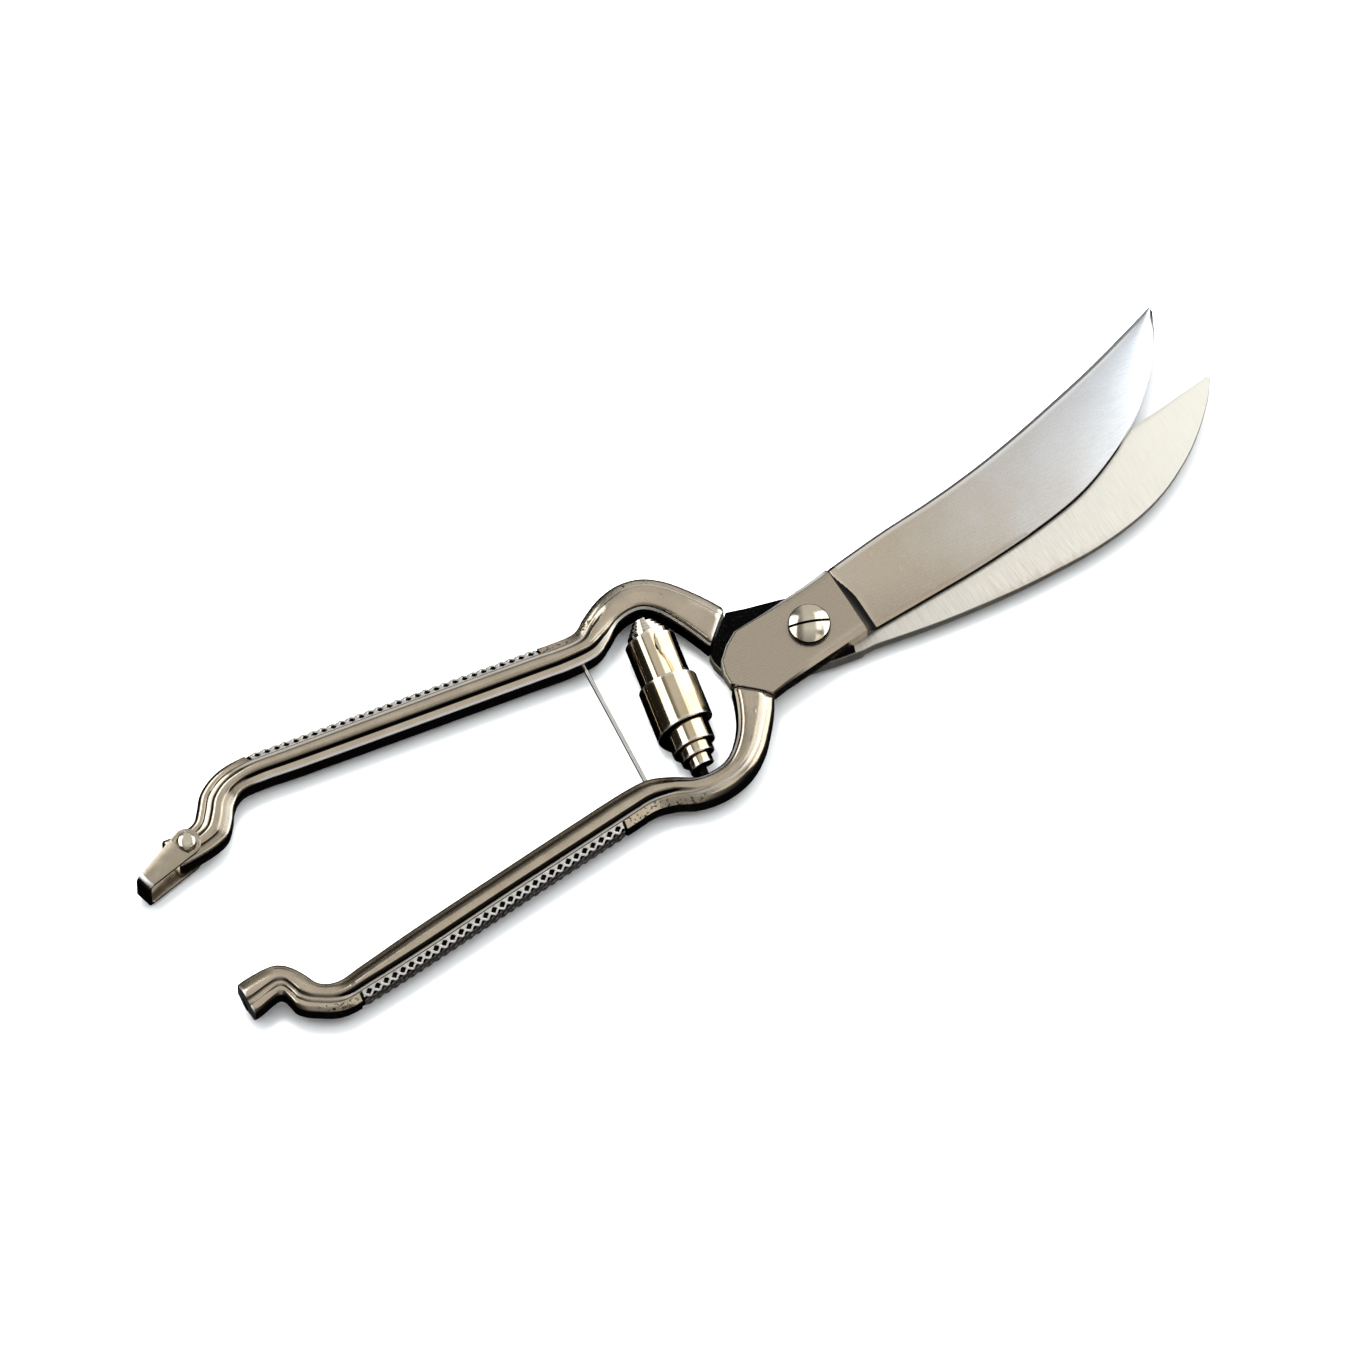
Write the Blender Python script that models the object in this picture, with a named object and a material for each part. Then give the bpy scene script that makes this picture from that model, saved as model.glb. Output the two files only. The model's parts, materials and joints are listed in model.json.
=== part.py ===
"""Poultry shears with bow handles, a double volute spring and a swinging catch strap.

The origin is on the pivot axis, at the plane the shears rest on. +Z is up, and +X runs along the shears
towards the blade tips. The shears rest open, as far as the limiter wire lets them. Lengths are millimetres
until a mesh is made.

The two halves slide on each other at the joint plane. The front half lies above it and carries the lower
handle (-Y). The rear half lies below it and carries the upper handle (+Y).
"""

import math

import bmesh
import bpy
from mathutils import Matrix, Vector

MM = 0.001
GAP = 0.3  # between pieces that touch or are pressed together

# Driving dimensions
JOINT_PLANE = 6.8  # height of the plane where the halves meet
FACE_GAP = 0.15  # from the joint plane to each half's inner face
OPENING = 11.2  # degrees from the closed shears to the rest position
RICASSO_THICKNESS = 4.4  # the flat around the pivot, measured from the joint plane
HANDLE_THICKNESS = 8.6
HANDLE_END_THICKNESS = 7.6
SPINE_THICKNESS = 3.3  # of a blade at the pivot
TIP_THICKNESS = 1.5
EDGE_THICKNESS = 0.5
EDGE_BEVEL = 1.6  # width of the ground bevel along the cutting edge
BACK_BEVEL = 2.0  # width of the bevel along a blade's back
BACK_WALL = 0.73  # height of a blade's upright back, as a share of its thickness

SHANK_RADIUS = 2.8  # of the pivot screw
SCREW_HEAD_RADIUS = 4.55
SCREW_HEAD_HEIGHT = 1.9
SCREW_SLOT_WIDTH = 1.1
NUT_ACROSS_FLATS = 9.0
NUT_HEIGHT = 3.2
NUT_FLOOR = 1.2  # thickness of the nut's closed end
NUT_RECESS_RADIUS = 5.6

RIVET = (-139.0, 22.5)  # axis of the catch strap
RIVET_RADIUS = 1.2
RIVET_HEAD_RADIUS = 2.0
RIVET_HEAD_HEIGHT = 0.9
STRAP_HEADING = 196.3  # degrees, from the rivet to the crossbar
STRAP_REACH = 12.4  # from the rivet to the crossbar's inner face
STRAP_THICKNESS = 0.9
STRAP_INSIDE = 8.2  # between the two plates
STRAP_EYE_RADIUS = 3.1
STRAP_BAR_WIDTH = 3.8

SPRING_TOP = (-29.4, 20.1)
SPRING_BOTTOM = (-35.5, -16.7)
LOWER_STRIP_WIDTH = 12.0
LOWER_COIL_STEP = 2.45  # how far each inner coil stands out
LOWER_TURNS = 4
LOWER_OUTER_RADIUS = 6.5
UPPER_STRIP_WIDTH = 10.0
UPPER_COIL_STEP = 1.3
UPPER_TURNS = 5
UPPER_OUTER_RADIUS = 5.5
STRIP_THICKNESS = 0.5
INNER_COIL_RADIUS = 2.3

STUD_RADIUS = 1.1
STUD_LENGTH = 4.0
STUD_DEPTH = 2.2  # of the hole in the handle

WIRE_TOP = (-45.3, 16.6)
WIRE_BOTTOM = (-47.1, -12.4)
WIRE_RADIUS = 0.5
WIRE_HOLE_DEPTH = 1.8

# Plan outlines at rest: each station is a point on the inner side, then one on the outer side
FRONT_HANDLE = (
    ((-21.1, -3.4), (-14.1, -9.7)),
    ((-22.2, -6.8), (-15.8, -12.4)),
    ((-24.2, -10.9), (-18.7, -16.0)),
    ((-26.8, -14.4), (-22.3, -19.7)),
    ((-30.1, -17.0), (-27.3, -22.7)),
    ((-34.0, -17.8), (-33.6, -23.9)),
    ((-38.1, -17.1), (-39.6, -23.1)),
    ((-42.2, -14.7), (-44.6, -20.8)),
    ((-46.9, -12.8), (-48.9, -19.8)),
    ((-53.0, -12.6), (-54.0, -20.2)),
    ((-65.0, -13.6), (-66.0, -21.3)),
    ((-86.0, -15.6), (-86.6, -23.2)),
    ((-106.0, -17.6), (-106.6, -25.2)),
    ((-120.0, -19.3), (-120.6, -26.3)),
    ((-126.5, -20.0), (-128.5, -26.4)),
    ((-130.1, -18.4), (-134.0, -23.6)),
    ((-131.7, -15.3), (-136.7, -21.2)),
    ((-133.0, -13.0), (-137.3, -18.9)),
    ((-134.6, -11.2), (-137.8, -17.2)),
    ((-136.6, -10.1), (-138.8, -16.6)),
    ((-139.5, -9.8), (-140.8, -16.9)),
    ((-143.0, -9.9), (-143.4, -17.5)),
    ((-145.3, -10.2), (-145.3, -17.7)),
)
REAR_HANDLE = (
    ((-20.7, 6.6), (-13.2, 13.2)),
    ((-21.8, 9.8), (-15.2, 16.8)),
    ((-23.6, 14.2), (-18.1, 21.2)),
    ((-25.7, 18.2), (-21.2, 25.0)),
    ((-28.2, 20.8), (-25.2, 28.0)),
    ((-31.0, 21.5), (-30.2, 29.2)),
    ((-34.4, 20.9), (-35.4, 28.4)),
    ((-38.0, 18.8), (-40.2, 26.2)),
    ((-42.2, 17.0), (-43.8, 24.2)),
    ((-48.8, 17.2), (-49.4, 24.6)),
    ((-55.0, 18.1), (-56.0, 25.7)),
    ((-83.0, 22.2), (-84.1, 29.8)),
    ((-108.0, 25.9), (-109.0, 33.3)),
    ((-117.0, 27.4), (-119.0, 34.6)),
    ((-122.3, 27.6), (-125.4, 34.2)),
    ((-125.4, 25.8), (-130.3, 31.9)),
    ((-127.6, 22.8), (-133.0, 28.8)),
    ((-130.2, 20.3), (-134.8, 26.8)),
    ((-133.8, 19.3), (-137.0, 26.1)),
    ((-138.0, 19.0), (-139.2, 25.9)),
    ((-142.4, 19.0), (-142.4, 25.6)),
)
# The flats around the pivot in the closed position, from the handle's end to the blade's shoulder
FRONT_RICASSO = (
    ((-21.3, -0.2), (-10.5, -9.1)),
    ((-20.2, 2.4), (-7.0, -8.7)),
    ((-17.6, 4.9), (-3.5, -8.3)),
    ((-14.4, 6.9), (0.0, -7.9)),
    ((-6.0, 7.5), (4.5, -7.4)),
    ((3.0, 8.5), (8.0, -7.0)),
    ((9.6, 9.5), (10.2, -6.8)),
)
REAR_RICASSO = (
    ((-21.3, 0.2), (-10.8, 9.9)),
    ((-20.2, -2.4), (-7.0, 9.7)),
    ((-17.6, -4.9), (-3.2, 9.5)),
    ((-14.4, -6.9), (0.5, 8.9)),
    ((-6.0, -7.5), (4.5, 8.2)),
    ((3.0, -7.6), (8.0, 7.6)),
    ((9.6, -7.3), (10.2, 7.4)),
)
# The blades in the closed position: each station is a point on its back, then one on its cutting edge
FRONT_BLADE = (
    ((11.2, 9.8), (12.6, -6.6)),
    ((24.0, 11.6), (26.0, -6.1)),
    ((37.0, 12.9), (40.0, -5.4)),
    ((49.0, 14.7), (54.0, -3.9)),
    ((60.0, 17.0), (66.0, -1.5)),
    ((70.0, 19.5), (76.0, 2.6)),
    ((79.0, 21.9), (84.0, 7.4)),
    ((86.0, 24.0), (90.0, 12.4)),
    ((92.0, 26.0), (95.2, 17.9)),
    ((96.8, 27.6), (98.4, 22.9)),
    ((100.3, 28.8), (100.8, 27.8)),
)
REAR_BLADE = (
    ((12.6, -6.8), (11.2, 8.8)),
    ((27.2, -6.3), (24.0, 10.4)),
    ((42.7, -4.8), (37.0, 12.1)),
    ((53.5, -3.1), (49.0, 14.1)),
    ((64.4, -0.8), (60.0, 16.7)),
    ((74.3, 2.6), (70.0, 19.6)),
    ((82.0, 6.7), (79.0, 22.4)),
    ((89.0, 12.4), (86.0, 24.7)),
    ((93.8, 17.8), (92.0, 26.7)),
    ((98.0, 23.9), (96.6, 28.2)),
    ((100.2, 28.5), (99.8, 29.3)),
)

NICKEL = (0.62, 0.58, 0.52, 1.0)
BLADE_STEEL = (0.66, 0.63, 0.57, 1.0)
SPRING_STEEL = (0.72, 0.66, 0.55, 1.0)
WIRE_STEEL = (0.78, 0.77, 0.74, 1.0)


def clear_scene():
    for thing in list(bpy.data.objects):
        bpy.data.objects.remove(thing, do_unlink=True)


def metal(name, colour, roughness):
    """A bare metal."""
    material = bpy.data.materials.new(name)
    material.use_nodes = True
    shader = material.node_tree.nodes["Principled BSDF"]
    shader.inputs["Base Color"].default_value = colour
    shader.inputs["Metallic"].default_value = 1.0
    shader.inputs["Roughness"].default_value = roughness
    material.diffuse_color = colour
    return material


def finished_object(name, mesh_data, material, sharp_angle=35.0):
    """A named object around mesh_data, whose vertices are in millimetres."""
    bmesh.ops.recalc_face_normals(mesh_data, faces=mesh_data.faces)
    bmesh.ops.scale(mesh_data, vec=(MM, MM, MM), verts=mesh_data.verts)
    mesh = bpy.data.meshes.new(name)
    mesh_data.to_mesh(mesh)
    mesh_data.free()
    mesh.shade_smooth()
    mesh.set_sharp_from_angle(angle=math.radians(sharp_angle))
    mesh.materials.append(material)
    thing = bpy.data.objects.new(name, mesh)
    bpy.context.scene.collection.objects.link(thing)
    return thing


def set_origin(thing, x, y):
    """Move a piece's origin onto a vertical axis, at the joint plane, leaving the piece where it is."""
    origin = Vector((x, y, JOINT_PLANE)) * MM
    thing.data.transform(Matrix.Translation(-origin))
    thing.location = origin


def between(start, end, share):
    return tuple(a + (b - a) * share for a, b in zip(start, end))


def turned(point, degrees):
    """A plan point turned about the pivot."""
    angle = math.radians(degrees)
    x, y = point
    return x * math.cos(angle) - y * math.sin(angle), x * math.sin(angle) + y * math.cos(angle)


def curve_through(stations, steps):
    """Stations on smooth curves through the given ones (Catmull-Rom), steps to an interval."""
    flat = [tuple(inner) + tuple(outer) for inner, outer in stations]
    padded = [flat[0]] + flat + [flat[-1]]
    smooth = []
    for before, start, end, after in zip(padded, padded[1:], padded[2:], padded[3:]):
        for step in range(steps):
            t = step / steps
            point = []
            for a, b, c, d in zip(before, start, end, after):
                square = (2 * a - 5 * b + 4 * c - d) * t**2
                cube = (3 * b - a - 3 * c + d) * t**3
                point.append(0.5 * (2 * b + (c - a) * t + square + cube))
            smooth.append(tuple(point))
    smooth.append(flat[-1])
    return [(point[:2], point[2:]) for point in smooth]


def loft(rings):
    """A closed mesh through rings of as many points each, with flat ends."""
    mesh_data = bmesh.new()
    loops = [[mesh_data.verts.new(point) for point in ring] for ring in rings]
    count = len(loops[0])
    for near, far in zip(loops, loops[1:]):
        for i in range(count):
            j = (i + 1) % count
            mesh_data.faces.new((near[i], near[j], far[j], far[i]))
    mesh_data.faces.new(loops[0])
    mesh_data.faces.new(loops[-1])
    return mesh_data


def turned_profile(profile, segments=24):
    """A closed solid turned about Z from (radius, height) points that start and end on the axis."""
    mesh_data = bmesh.new()
    bottom = mesh_data.verts.new((0.0, 0.0, profile[0][1]))
    top = mesh_data.verts.new((0.0, 0.0, profile[-1][1]))
    loops = []
    for radius, height in profile[1:-1]:
        loops.append(
            [
                mesh_data.verts.new(
                    (
                        radius * math.cos(2 * math.pi * i / segments),
                        radius * math.sin(2 * math.pi * i / segments),
                        height,
                    )
                )
                for i in range(segments)
            ]
        )
    for i in range(segments):
        j = (i + 1) % segments
        mesh_data.faces.new((bottom, loops[0][j], loops[0][i]))
        mesh_data.faces.new((top, loops[-1][i], loops[-1][j]))
        for near, far in zip(loops, loops[1:]):
            mesh_data.faces.new((near[i], near[j], far[j], far[i]))
    return mesh_data


def dome(radius, base, height, steps=4):
    """Profile points of a low dome, from its rim to just before its middle."""
    points = []
    for step in range(steps):
        angle = 0.5 * math.pi * step / steps
        points.append((radius * math.cos(angle), base + height * math.sin(angle)))
    return points


def cut(piece, mesh_data, name):
    """Cut a solid, given in millimetres, out of a piece."""
    bmesh.ops.recalc_face_normals(mesh_data, faces=mesh_data.faces)
    bmesh.ops.scale(mesh_data, vec=(MM, MM, MM), verts=mesh_data.verts)
    mesh = bpy.data.meshes.new(name)
    mesh_data.to_mesh(mesh)
    mesh_data.free()
    cutter = bpy.data.objects.new(name, mesh)
    bpy.context.scene.collection.objects.link(cutter)
    cutter.hide_render = True
    cutter.display_type = "WIRE"
    modifier = piece.modifiers.new(name, "BOOLEAN")
    modifier.operation = "DIFFERENCE"
    modifier.object = cutter


def vertical_rod(x, y, radius, bottom, top, segments=24):
    mesh_data = turned_profile(((0, bottom), (radius, bottom), (radius, top), (0, top)), segments)
    bmesh.ops.translate(mesh_data, vec=(x, y, 0), verts=mesh_data.verts)
    return mesh_data


def level_rod(start, end, radius, segments=12):
    """A rod at the joint plane between two plan points."""
    a = Vector((*start, JOINT_PLANE))
    b = Vector((*end, JOINT_PLANE))
    length = (b - a).length
    mesh_data = turned_profile(((0, 0), (radius, 0), (radius, length), (0, length)), segments)
    turn = Vector((0, 0, 1)).rotation_difference((b - a).normalized())
    place = Matrix.Translation(a) @ turn.to_matrix().to_4x4()
    bmesh.ops.transform(mesh_data, matrix=place, verts=mesh_data.verts)
    return mesh_data


def handle_section(width, thickness):
    """Outline across a handle: an upright inner wall, a flange, a rounded body and a flattened outer side."""
    half = thickness / 2
    upper = (
        (0.0, 0.60 * half),
        (0.05 * width, 0.76 * half),
        (0.30 * width, 0.88 * half),
        (0.50 * width, 1.00 * half),
        (0.72 * width, 0.95 * half),
        (0.90 * width, 0.74 * half),
        (1.0 * width, 0.42 * half),
    )
    return upper + tuple((across, -height) for across, height in reversed(upper))


def handle(name, stations, material):
    """A handle bar swept along its outline, thinning over its last bend."""
    smooth = curve_through(stations, 2)
    thin_from = len(smooth) - 18
    rings = []
    for number, (inner, outer) in enumerate(smooth):
        thinning = min(max((number - thin_from) / 8, 0.0), 1.0)
        thickness = HANDLE_THICKNESS + (HANDLE_END_THICKNESS - HANDLE_THICKNESS) * thinning
        width = math.dist(inner, outer)
        ring = []
        for across, height in handle_section(width, thickness):
            ring.append((*between(inner, outer, across / width), JOINT_PLANE + height))
        rings.append(ring)
    return finished_object(name, loft(rings), material)


def blade_section(inner, outer, thickness, side):
    """Outline across a blade from its back (inner) to its edge (outer).

    side is 1 for a blade above the joint plane and -1 for one below it.
    """
    width = math.dist(inner, outer)
    back = min(BACK_BEVEL, 0.2 * width)
    bevel = min(EDGE_BEVEL, 0.45 * width)
    shoulder = EDGE_THICKNESS + (thickness - EDGE_THICKNESS) * bevel / width
    heights = (
        (0.0, FACE_GAP),
        (0.0, BACK_WALL * thickness),
        (back, thickness),
        (0.5 * (width - bevel + back), 0.5 * (thickness + shoulder) + 0.1),
        (width - bevel, shoulder),
        (width, EDGE_THICKNESS),
        (width, FACE_GAP),
    )
    return [
        (*between(inner, outer, across / width), JOINT_PLANE + side * height) for across, height in heights
    ]


def ricasso_section(inner, outer, side):
    """Outline across the flat around the pivot."""
    width = math.dist(inner, outer)
    top = RICASSO_THICKNESS
    heights = (
        (0.0, FACE_GAP),
        (0.0, top - 0.5),
        (0.5, top),
        (0.5 * width, top),
        (width - 0.5, top),
        (width, top - 0.5),
        (width, FACE_GAP),
    )
    return [
        (*between(inner, outer, across / width), JOINT_PLANE + side * height) for across, height in heights
    ]


def blade(name, neck, ricasso, stations, side, material):
    """A blade with the flat around the pivot, whose first section meets its handle at the neck."""
    rings = [ricasso_section(inner, outer, side) for inner, outer in (neck, *ricasso)]
    smooth = curve_through(stations, 2)
    for number, (inner, outer) in enumerate(smooth):
        share = number / (len(smooth) - 1)
        thickness = SPINE_THICKNESS + (TIP_THICKNESS - SPINE_THICKNESS) * share
        rings.append(blade_section(inner, outer, thickness, side))
    return finished_object(name, loft(rings), material)


def set_back(station, towards, distance):
    """A station moved towards another one, so that two pieces don't touch."""
    moved = []
    for point, other in zip(station, towards):
        moved.append(between(point, other, distance / math.dist(point, other)))
    return tuple(moved)


def front_blade():
    neck = set_back(FRONT_HANDLE[0], FRONT_RICASSO[0], GAP)
    steel = metal("Front_Blade_Steel", BLADE_STEEL, 0.3)
    piece = blade("front_blade", neck, FRONT_RICASSO, FRONT_BLADE, 1, steel)
    bore = vertical_rod(0, 0, SHANK_RADIUS + GAP, JOINT_PLANE - 1, JOINT_PLANE + RICASSO_THICKNESS + 1)
    cut(piece, bore, "Front_Pivot_Bore")
    return piece


def opened(stations):
    """The rear half's stations moved from the closed position to the rest position."""
    return [tuple(turned(point, -OPENING) for point in station) for station in stations]


def rear_blade():
    ricasso = opened(REAR_RICASSO)
    neck = set_back(REAR_HANDLE[0], ricasso[0], GAP)
    steel = metal("Rear_Blade_Steel", BLADE_STEEL, 0.3)
    piece = blade("rear_blade", neck, ricasso, opened(REAR_BLADE), -1, steel)
    lowest = JOINT_PLANE - RICASSO_THICKNESS
    bore = vertical_rod(0, 0, SHANK_RADIUS + GAP, lowest - 1, JOINT_PLANE + 1)
    cut(piece, bore, "Rear_Pivot_Bore")
    recess = vertical_rod(0, 0, NUT_RECESS_RADIUS, lowest - 1, NUT_HEIGHT + GAP, segments=32)
    cut(piece, recess, "Nut_Recess")
    return piece


def axis_point(share):
    """A plan point on the spring's axis, from its bottom (0) to its top (1)."""
    return between(SPRING_BOTTOM, SPRING_TOP, share)


def spring_length():
    return math.dist(SPRING_BOTTOM, SPRING_TOP)


def beyond_spring(share, distance):
    """A plan point on the spring's axis, a distance past its bottom (share 0) or its top (share 1)."""
    outward = 1 if share > 0.5 else -1
    return axis_point(share + outward * distance / spring_length())


def bore_for_stud(piece, share, name):
    start = axis_point(share)
    cut(piece, level_rod(start, beyond_spring(share, STUD_DEPTH + GAP), STUD_RADIUS + GAP), name)


def bore_for_wire(piece, end, other, name):
    length = math.dist(end, other)
    bottom = between(other, end, 1 + WIRE_HOLE_DEPTH / length)
    mouth = between(other, end, 1 - WIRE_HOLE_DEPTH / length)
    cut(piece, level_rod(mouth, bottom, WIRE_RADIUS + GAP), name)


def front_handle():
    piece = handle("front_handle", FRONT_HANDLE, metal("Front_Handle_Nickel", NICKEL, 0.28))
    bore_for_stud(piece, 0, "Lower_Stud_Hole")
    bore_for_wire(piece, WIRE_BOTTOM, WIRE_TOP, "Lower_Wire_Hole")
    return piece


def rear_handle():
    piece = handle("rear_handle", REAR_HANDLE, metal("Rear_Handle_Nickel", NICKEL, 0.28))
    bore_for_stud(piece, 1, "Upper_Stud_Hole")
    bore_for_wire(piece, WIRE_TOP, WIRE_BOTTOM, "Upper_Wire_Hole")
    half = HANDLE_END_THICKNESS / 2 + 1
    hole = vertical_rod(*RIVET, RIVET_RADIUS + GAP, JOINT_PLANE - half, JOINT_PLANE + half)
    cut(piece, hole, "Rivet_Hole")
    return piece


def pivot_screw():
    """A slotted screw with a low domed head and a plain shank."""
    under_head = JOINT_PLANE + RICASSO_THICKNESS + GAP
    crown = under_head + SCREW_HEAD_HEIGHT
    shank_end = NUT_FLOOR + GAP
    chamfer = 0.3
    profile = [(0, shank_end), (SHANK_RADIUS - chamfer, shank_end)]
    profile += [(SHANK_RADIUS, shank_end + chamfer), (SHANK_RADIUS, under_head)]
    profile += [(SCREW_HEAD_RADIUS, under_head)]
    profile += dome(SCREW_HEAD_RADIUS, under_head + 0.6, SCREW_HEAD_HEIGHT - 0.6)
    profile += [(0, crown)]
    piece = finished_object("pivot_screw", turned_profile(profile), metal("Screw_Nickel", NICKEL, 0.3))
    slot = bmesh.new()
    bmesh.ops.create_cube(slot, size=1.0)
    bmesh.ops.scale(slot, vec=(3 * SCREW_HEAD_RADIUS, SCREW_SLOT_WIDTH, 2.0), verts=slot.verts)
    bmesh.ops.rotate(slot, matrix=Matrix.Rotation(math.radians(-19), 3, "Z"), verts=slot.verts)
    bmesh.ops.translate(slot, vec=(0, 0, crown), verts=slot.verts)
    cut(piece, slot, "Screw_Slot")
    return piece


def pivot_nut():
    """A closed hexagon nut, partly sunk in the rear half: its flat end is what the shears rest on."""
    radius = NUT_ACROSS_FLATS / math.sqrt(3)
    profile = ((0, 0), (radius, 0), (radius, NUT_HEIGHT), (0, NUT_HEIGHT))
    piece = finished_object("pivot_nut", turned_profile(profile, 6), metal("Nut_Nickel", NICKEL, 0.35), 20.0)
    cut(piece, vertical_rod(0, 0, SHANK_RADIUS + GAP, NUT_FLOOR, NUT_HEIGHT + 1), "Nut_Bore")
    return piece


def wound(turns):
    """How many coils inwards a strip has come.

    The first coil stays outermost until it steps inside its own start.
    """
    step_from = 0.75
    if turns >= 1:
        return turns
    ramp = max(turns - step_from, 0.0) / (1 - step_from)
    return ramp * ramp * (3 - 2 * ramp)


def volute(name, outer_radius, turns, strip_width, coil_step, base_share, towards_top, material):
    """A volute: one strip rolled so that each inner coil stands further out of the one around it."""
    outer_middle = outer_radius - STRIP_THICKNESS / 2
    inner_middle = INNER_COIL_RADIUS - STRIP_THICKNESS / 2
    steps = turns * 20
    rings = []
    for step in range(steps + 1):
        angle = 2 * math.pi * turns * step / steps
        coils_in = wound(turns * step / steps)
        radius = outer_middle + (inner_middle - outer_middle) * coils_in / turns
        low = coil_step * coils_in
        ring = []
        for offset, height in (
            (-STRIP_THICKNESS / 2, low),
            (STRIP_THICKNESS / 2, low),
            (STRIP_THICKNESS / 2, low + strip_width),
            (-STRIP_THICKNESS / 2, low + strip_width),
        ):
            reach = radius + offset
            ring.append((reach * math.cos(angle), reach * math.sin(angle), height))
        rings.append(ring)
    mesh_data = loft(rings)
    heading = Vector((*axis_point(1), 0)) - Vector((*axis_point(0), 0))
    if not towards_top:
        heading.negate()
    turn = Vector((0, 0, 1)).rotation_difference(heading.normalized())
    place = Matrix.Translation((*axis_point(base_share), JOINT_PLANE))
    bmesh.ops.transform(mesh_data, matrix=place @ turn.to_matrix().to_4x4(), verts=mesh_data.verts)
    return finished_object(name, mesh_data, material)


def lower_volute_spring():
    height = LOWER_STRIP_WIDTH + LOWER_COIL_STEP * LOWER_TURNS
    return volute(
        "lower_volute_spring",
        LOWER_OUTER_RADIUS,
        LOWER_TURNS,
        LOWER_STRIP_WIDTH,
        LOWER_COIL_STEP,
        height / spring_length(),
        False,
        metal("Lower_Spring_Steel", SPRING_STEEL, 0.25),
    )


def upper_volute_spring():
    height = UPPER_STRIP_WIDTH + UPPER_COIL_STEP * UPPER_TURNS
    return volute(
        "upper_volute_spring",
        UPPER_OUTER_RADIUS,
        UPPER_TURNS,
        UPPER_STRIP_WIDTH,
        UPPER_COIL_STEP,
        1 - height / spring_length(),
        True,
        metal("Upper_Spring_Steel", SPRING_STEEL, 0.25),
    )


def spring_stud(name, share, material):
    """A stud pressed into a handle, inside the spring's smallest coil."""
    inside = beyond_spring(share, -STUD_LENGTH)
    return finished_object(name, level_rod(inside, beyond_spring(share, STUD_DEPTH), STUD_RADIUS), material)


def limiter_wire():
    """The straight wire that stops the shears from opening further."""
    length = math.dist(WIRE_BOTTOM, WIRE_TOP)
    reach = (WIRE_HOLE_DEPTH - GAP) / length
    bottom = between(WIRE_BOTTOM, WIRE_TOP, -reach)
    top = between(WIRE_BOTTOM, WIRE_TOP, 1 + reach)
    rod = level_rod(bottom, top, WIRE_RADIUS, 8)
    return finished_object("limiter_wire", rod, metal("Wire", WIRE_STEEL, 0.2))


def catch_strap():
    """A strip bent into a U, whose two ends are eyes on the rivet."""
    half = (STRAP_INSIDE + STRAP_THICKNESS) / 2
    middle = STRAP_REACH + STRAP_THICKNESS / 2
    bend = 1.3
    eye = []
    for step in range(7):
        angle = math.radians(8 + 82 * step / 6)
        eye.append((-STRAP_EYE_RADIUS * math.cos(angle), 2 * STRAP_EYE_RADIUS * math.sin(angle)))
    path = [((reach, half), (0, 1), width) for reach, width in eye]
    path.append(((middle - bend, half), (0, 1), STRAP_BAR_WIDTH))
    for step in range(1, 5):
        angle = math.radians(90 - 22.5 * step)
        outward = (math.cos(angle), math.sin(angle))
        centre = (middle - bend + bend * outward[0], half - bend + bend * outward[1])
        path.append((centre, outward, STRAP_BAR_WIDTH))
    path += [((reach, -height), (out, -up), width) for (reach, height), (out, up), width in reversed(path)]
    rings = []
    for (reach, height), (out, up), width in path:
        ring = []
        for depth, side in ((-1, -1), (1, -1), (1, 1), (-1, 1)):
            x = reach + out * depth * STRAP_THICKNESS / 2
            z = height + up * depth * STRAP_THICKNESS / 2
            ring.append((x, side * width / 2, z + JOINT_PLANE))
        rings.append(ring)
    mesh_data = loft(rings)
    heading = Matrix.Rotation(math.radians(STRAP_HEADING), 4, "Z")
    place = Matrix.Translation((*RIVET, 0))
    bmesh.ops.transform(mesh_data, matrix=place @ heading, verts=mesh_data.verts)
    piece = finished_object("catch_strap", mesh_data, metal("Strap_Nickel", NICKEL, 0.3))
    hole = vertical_rod(*RIVET, RIVET_RADIUS + GAP, 0, 2 * JOINT_PLANE)
    cut(piece, hole, "Strap_Eye")
    return piece


def catch_rivet():
    """A rivet with a low round head over each end of the strap."""
    under_head = STRAP_INSIDE / 2 + STRAP_THICKNESS + GAP
    face = under_head + RIVET_HEAD_HEIGHT
    head = dome(RIVET_HEAD_RADIUS, under_head, RIVET_HEAD_HEIGHT, 3)
    upper = [(RIVET_RADIUS, under_head)] + head + [(0, face)]
    profile = [(radius, -height) for radius, height in reversed(upper)] + upper
    mesh_data = turned_profile(profile, 16)
    bmesh.ops.translate(mesh_data, vec=(*RIVET, JOINT_PLANE), verts=mesh_data.verts)
    return finished_object("catch_rivet", mesh_data, metal("Rivet_Nickel", NICKEL, 0.3))


def main():
    clear_scene()
    front = [front_blade(), front_handle(), pivot_screw(), pivot_nut()]
    front += [lower_volute_spring(), limiter_wire()]
    front.append(spring_stud("lower_spring_stud", 0, metal("Lower_Stud_Nickel", NICKEL, 0.35)))
    rear = [rear_blade(), rear_handle(), upper_volute_spring(), catch_rivet()]
    rear.append(spring_stud("upper_spring_stud", 1, metal("Upper_Stud_Nickel", NICKEL, 0.35)))
    for piece in front + rear:
        set_origin(piece, 0, 0)
    set_origin(catch_strap(), *RIVET)


main()
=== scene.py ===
"""Looks of the poultry shears: forged handles, ground blades and wound springs, in nickel and steel.

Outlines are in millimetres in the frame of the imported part: the pivot axis is at the origin and +Z is up.
The shears rest open. Meshes are built in millimetres and scaled to metres when they are finished.
"""

import json
import math

import bmesh
import bpy
from mathutils import Matrix, Vector


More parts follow.
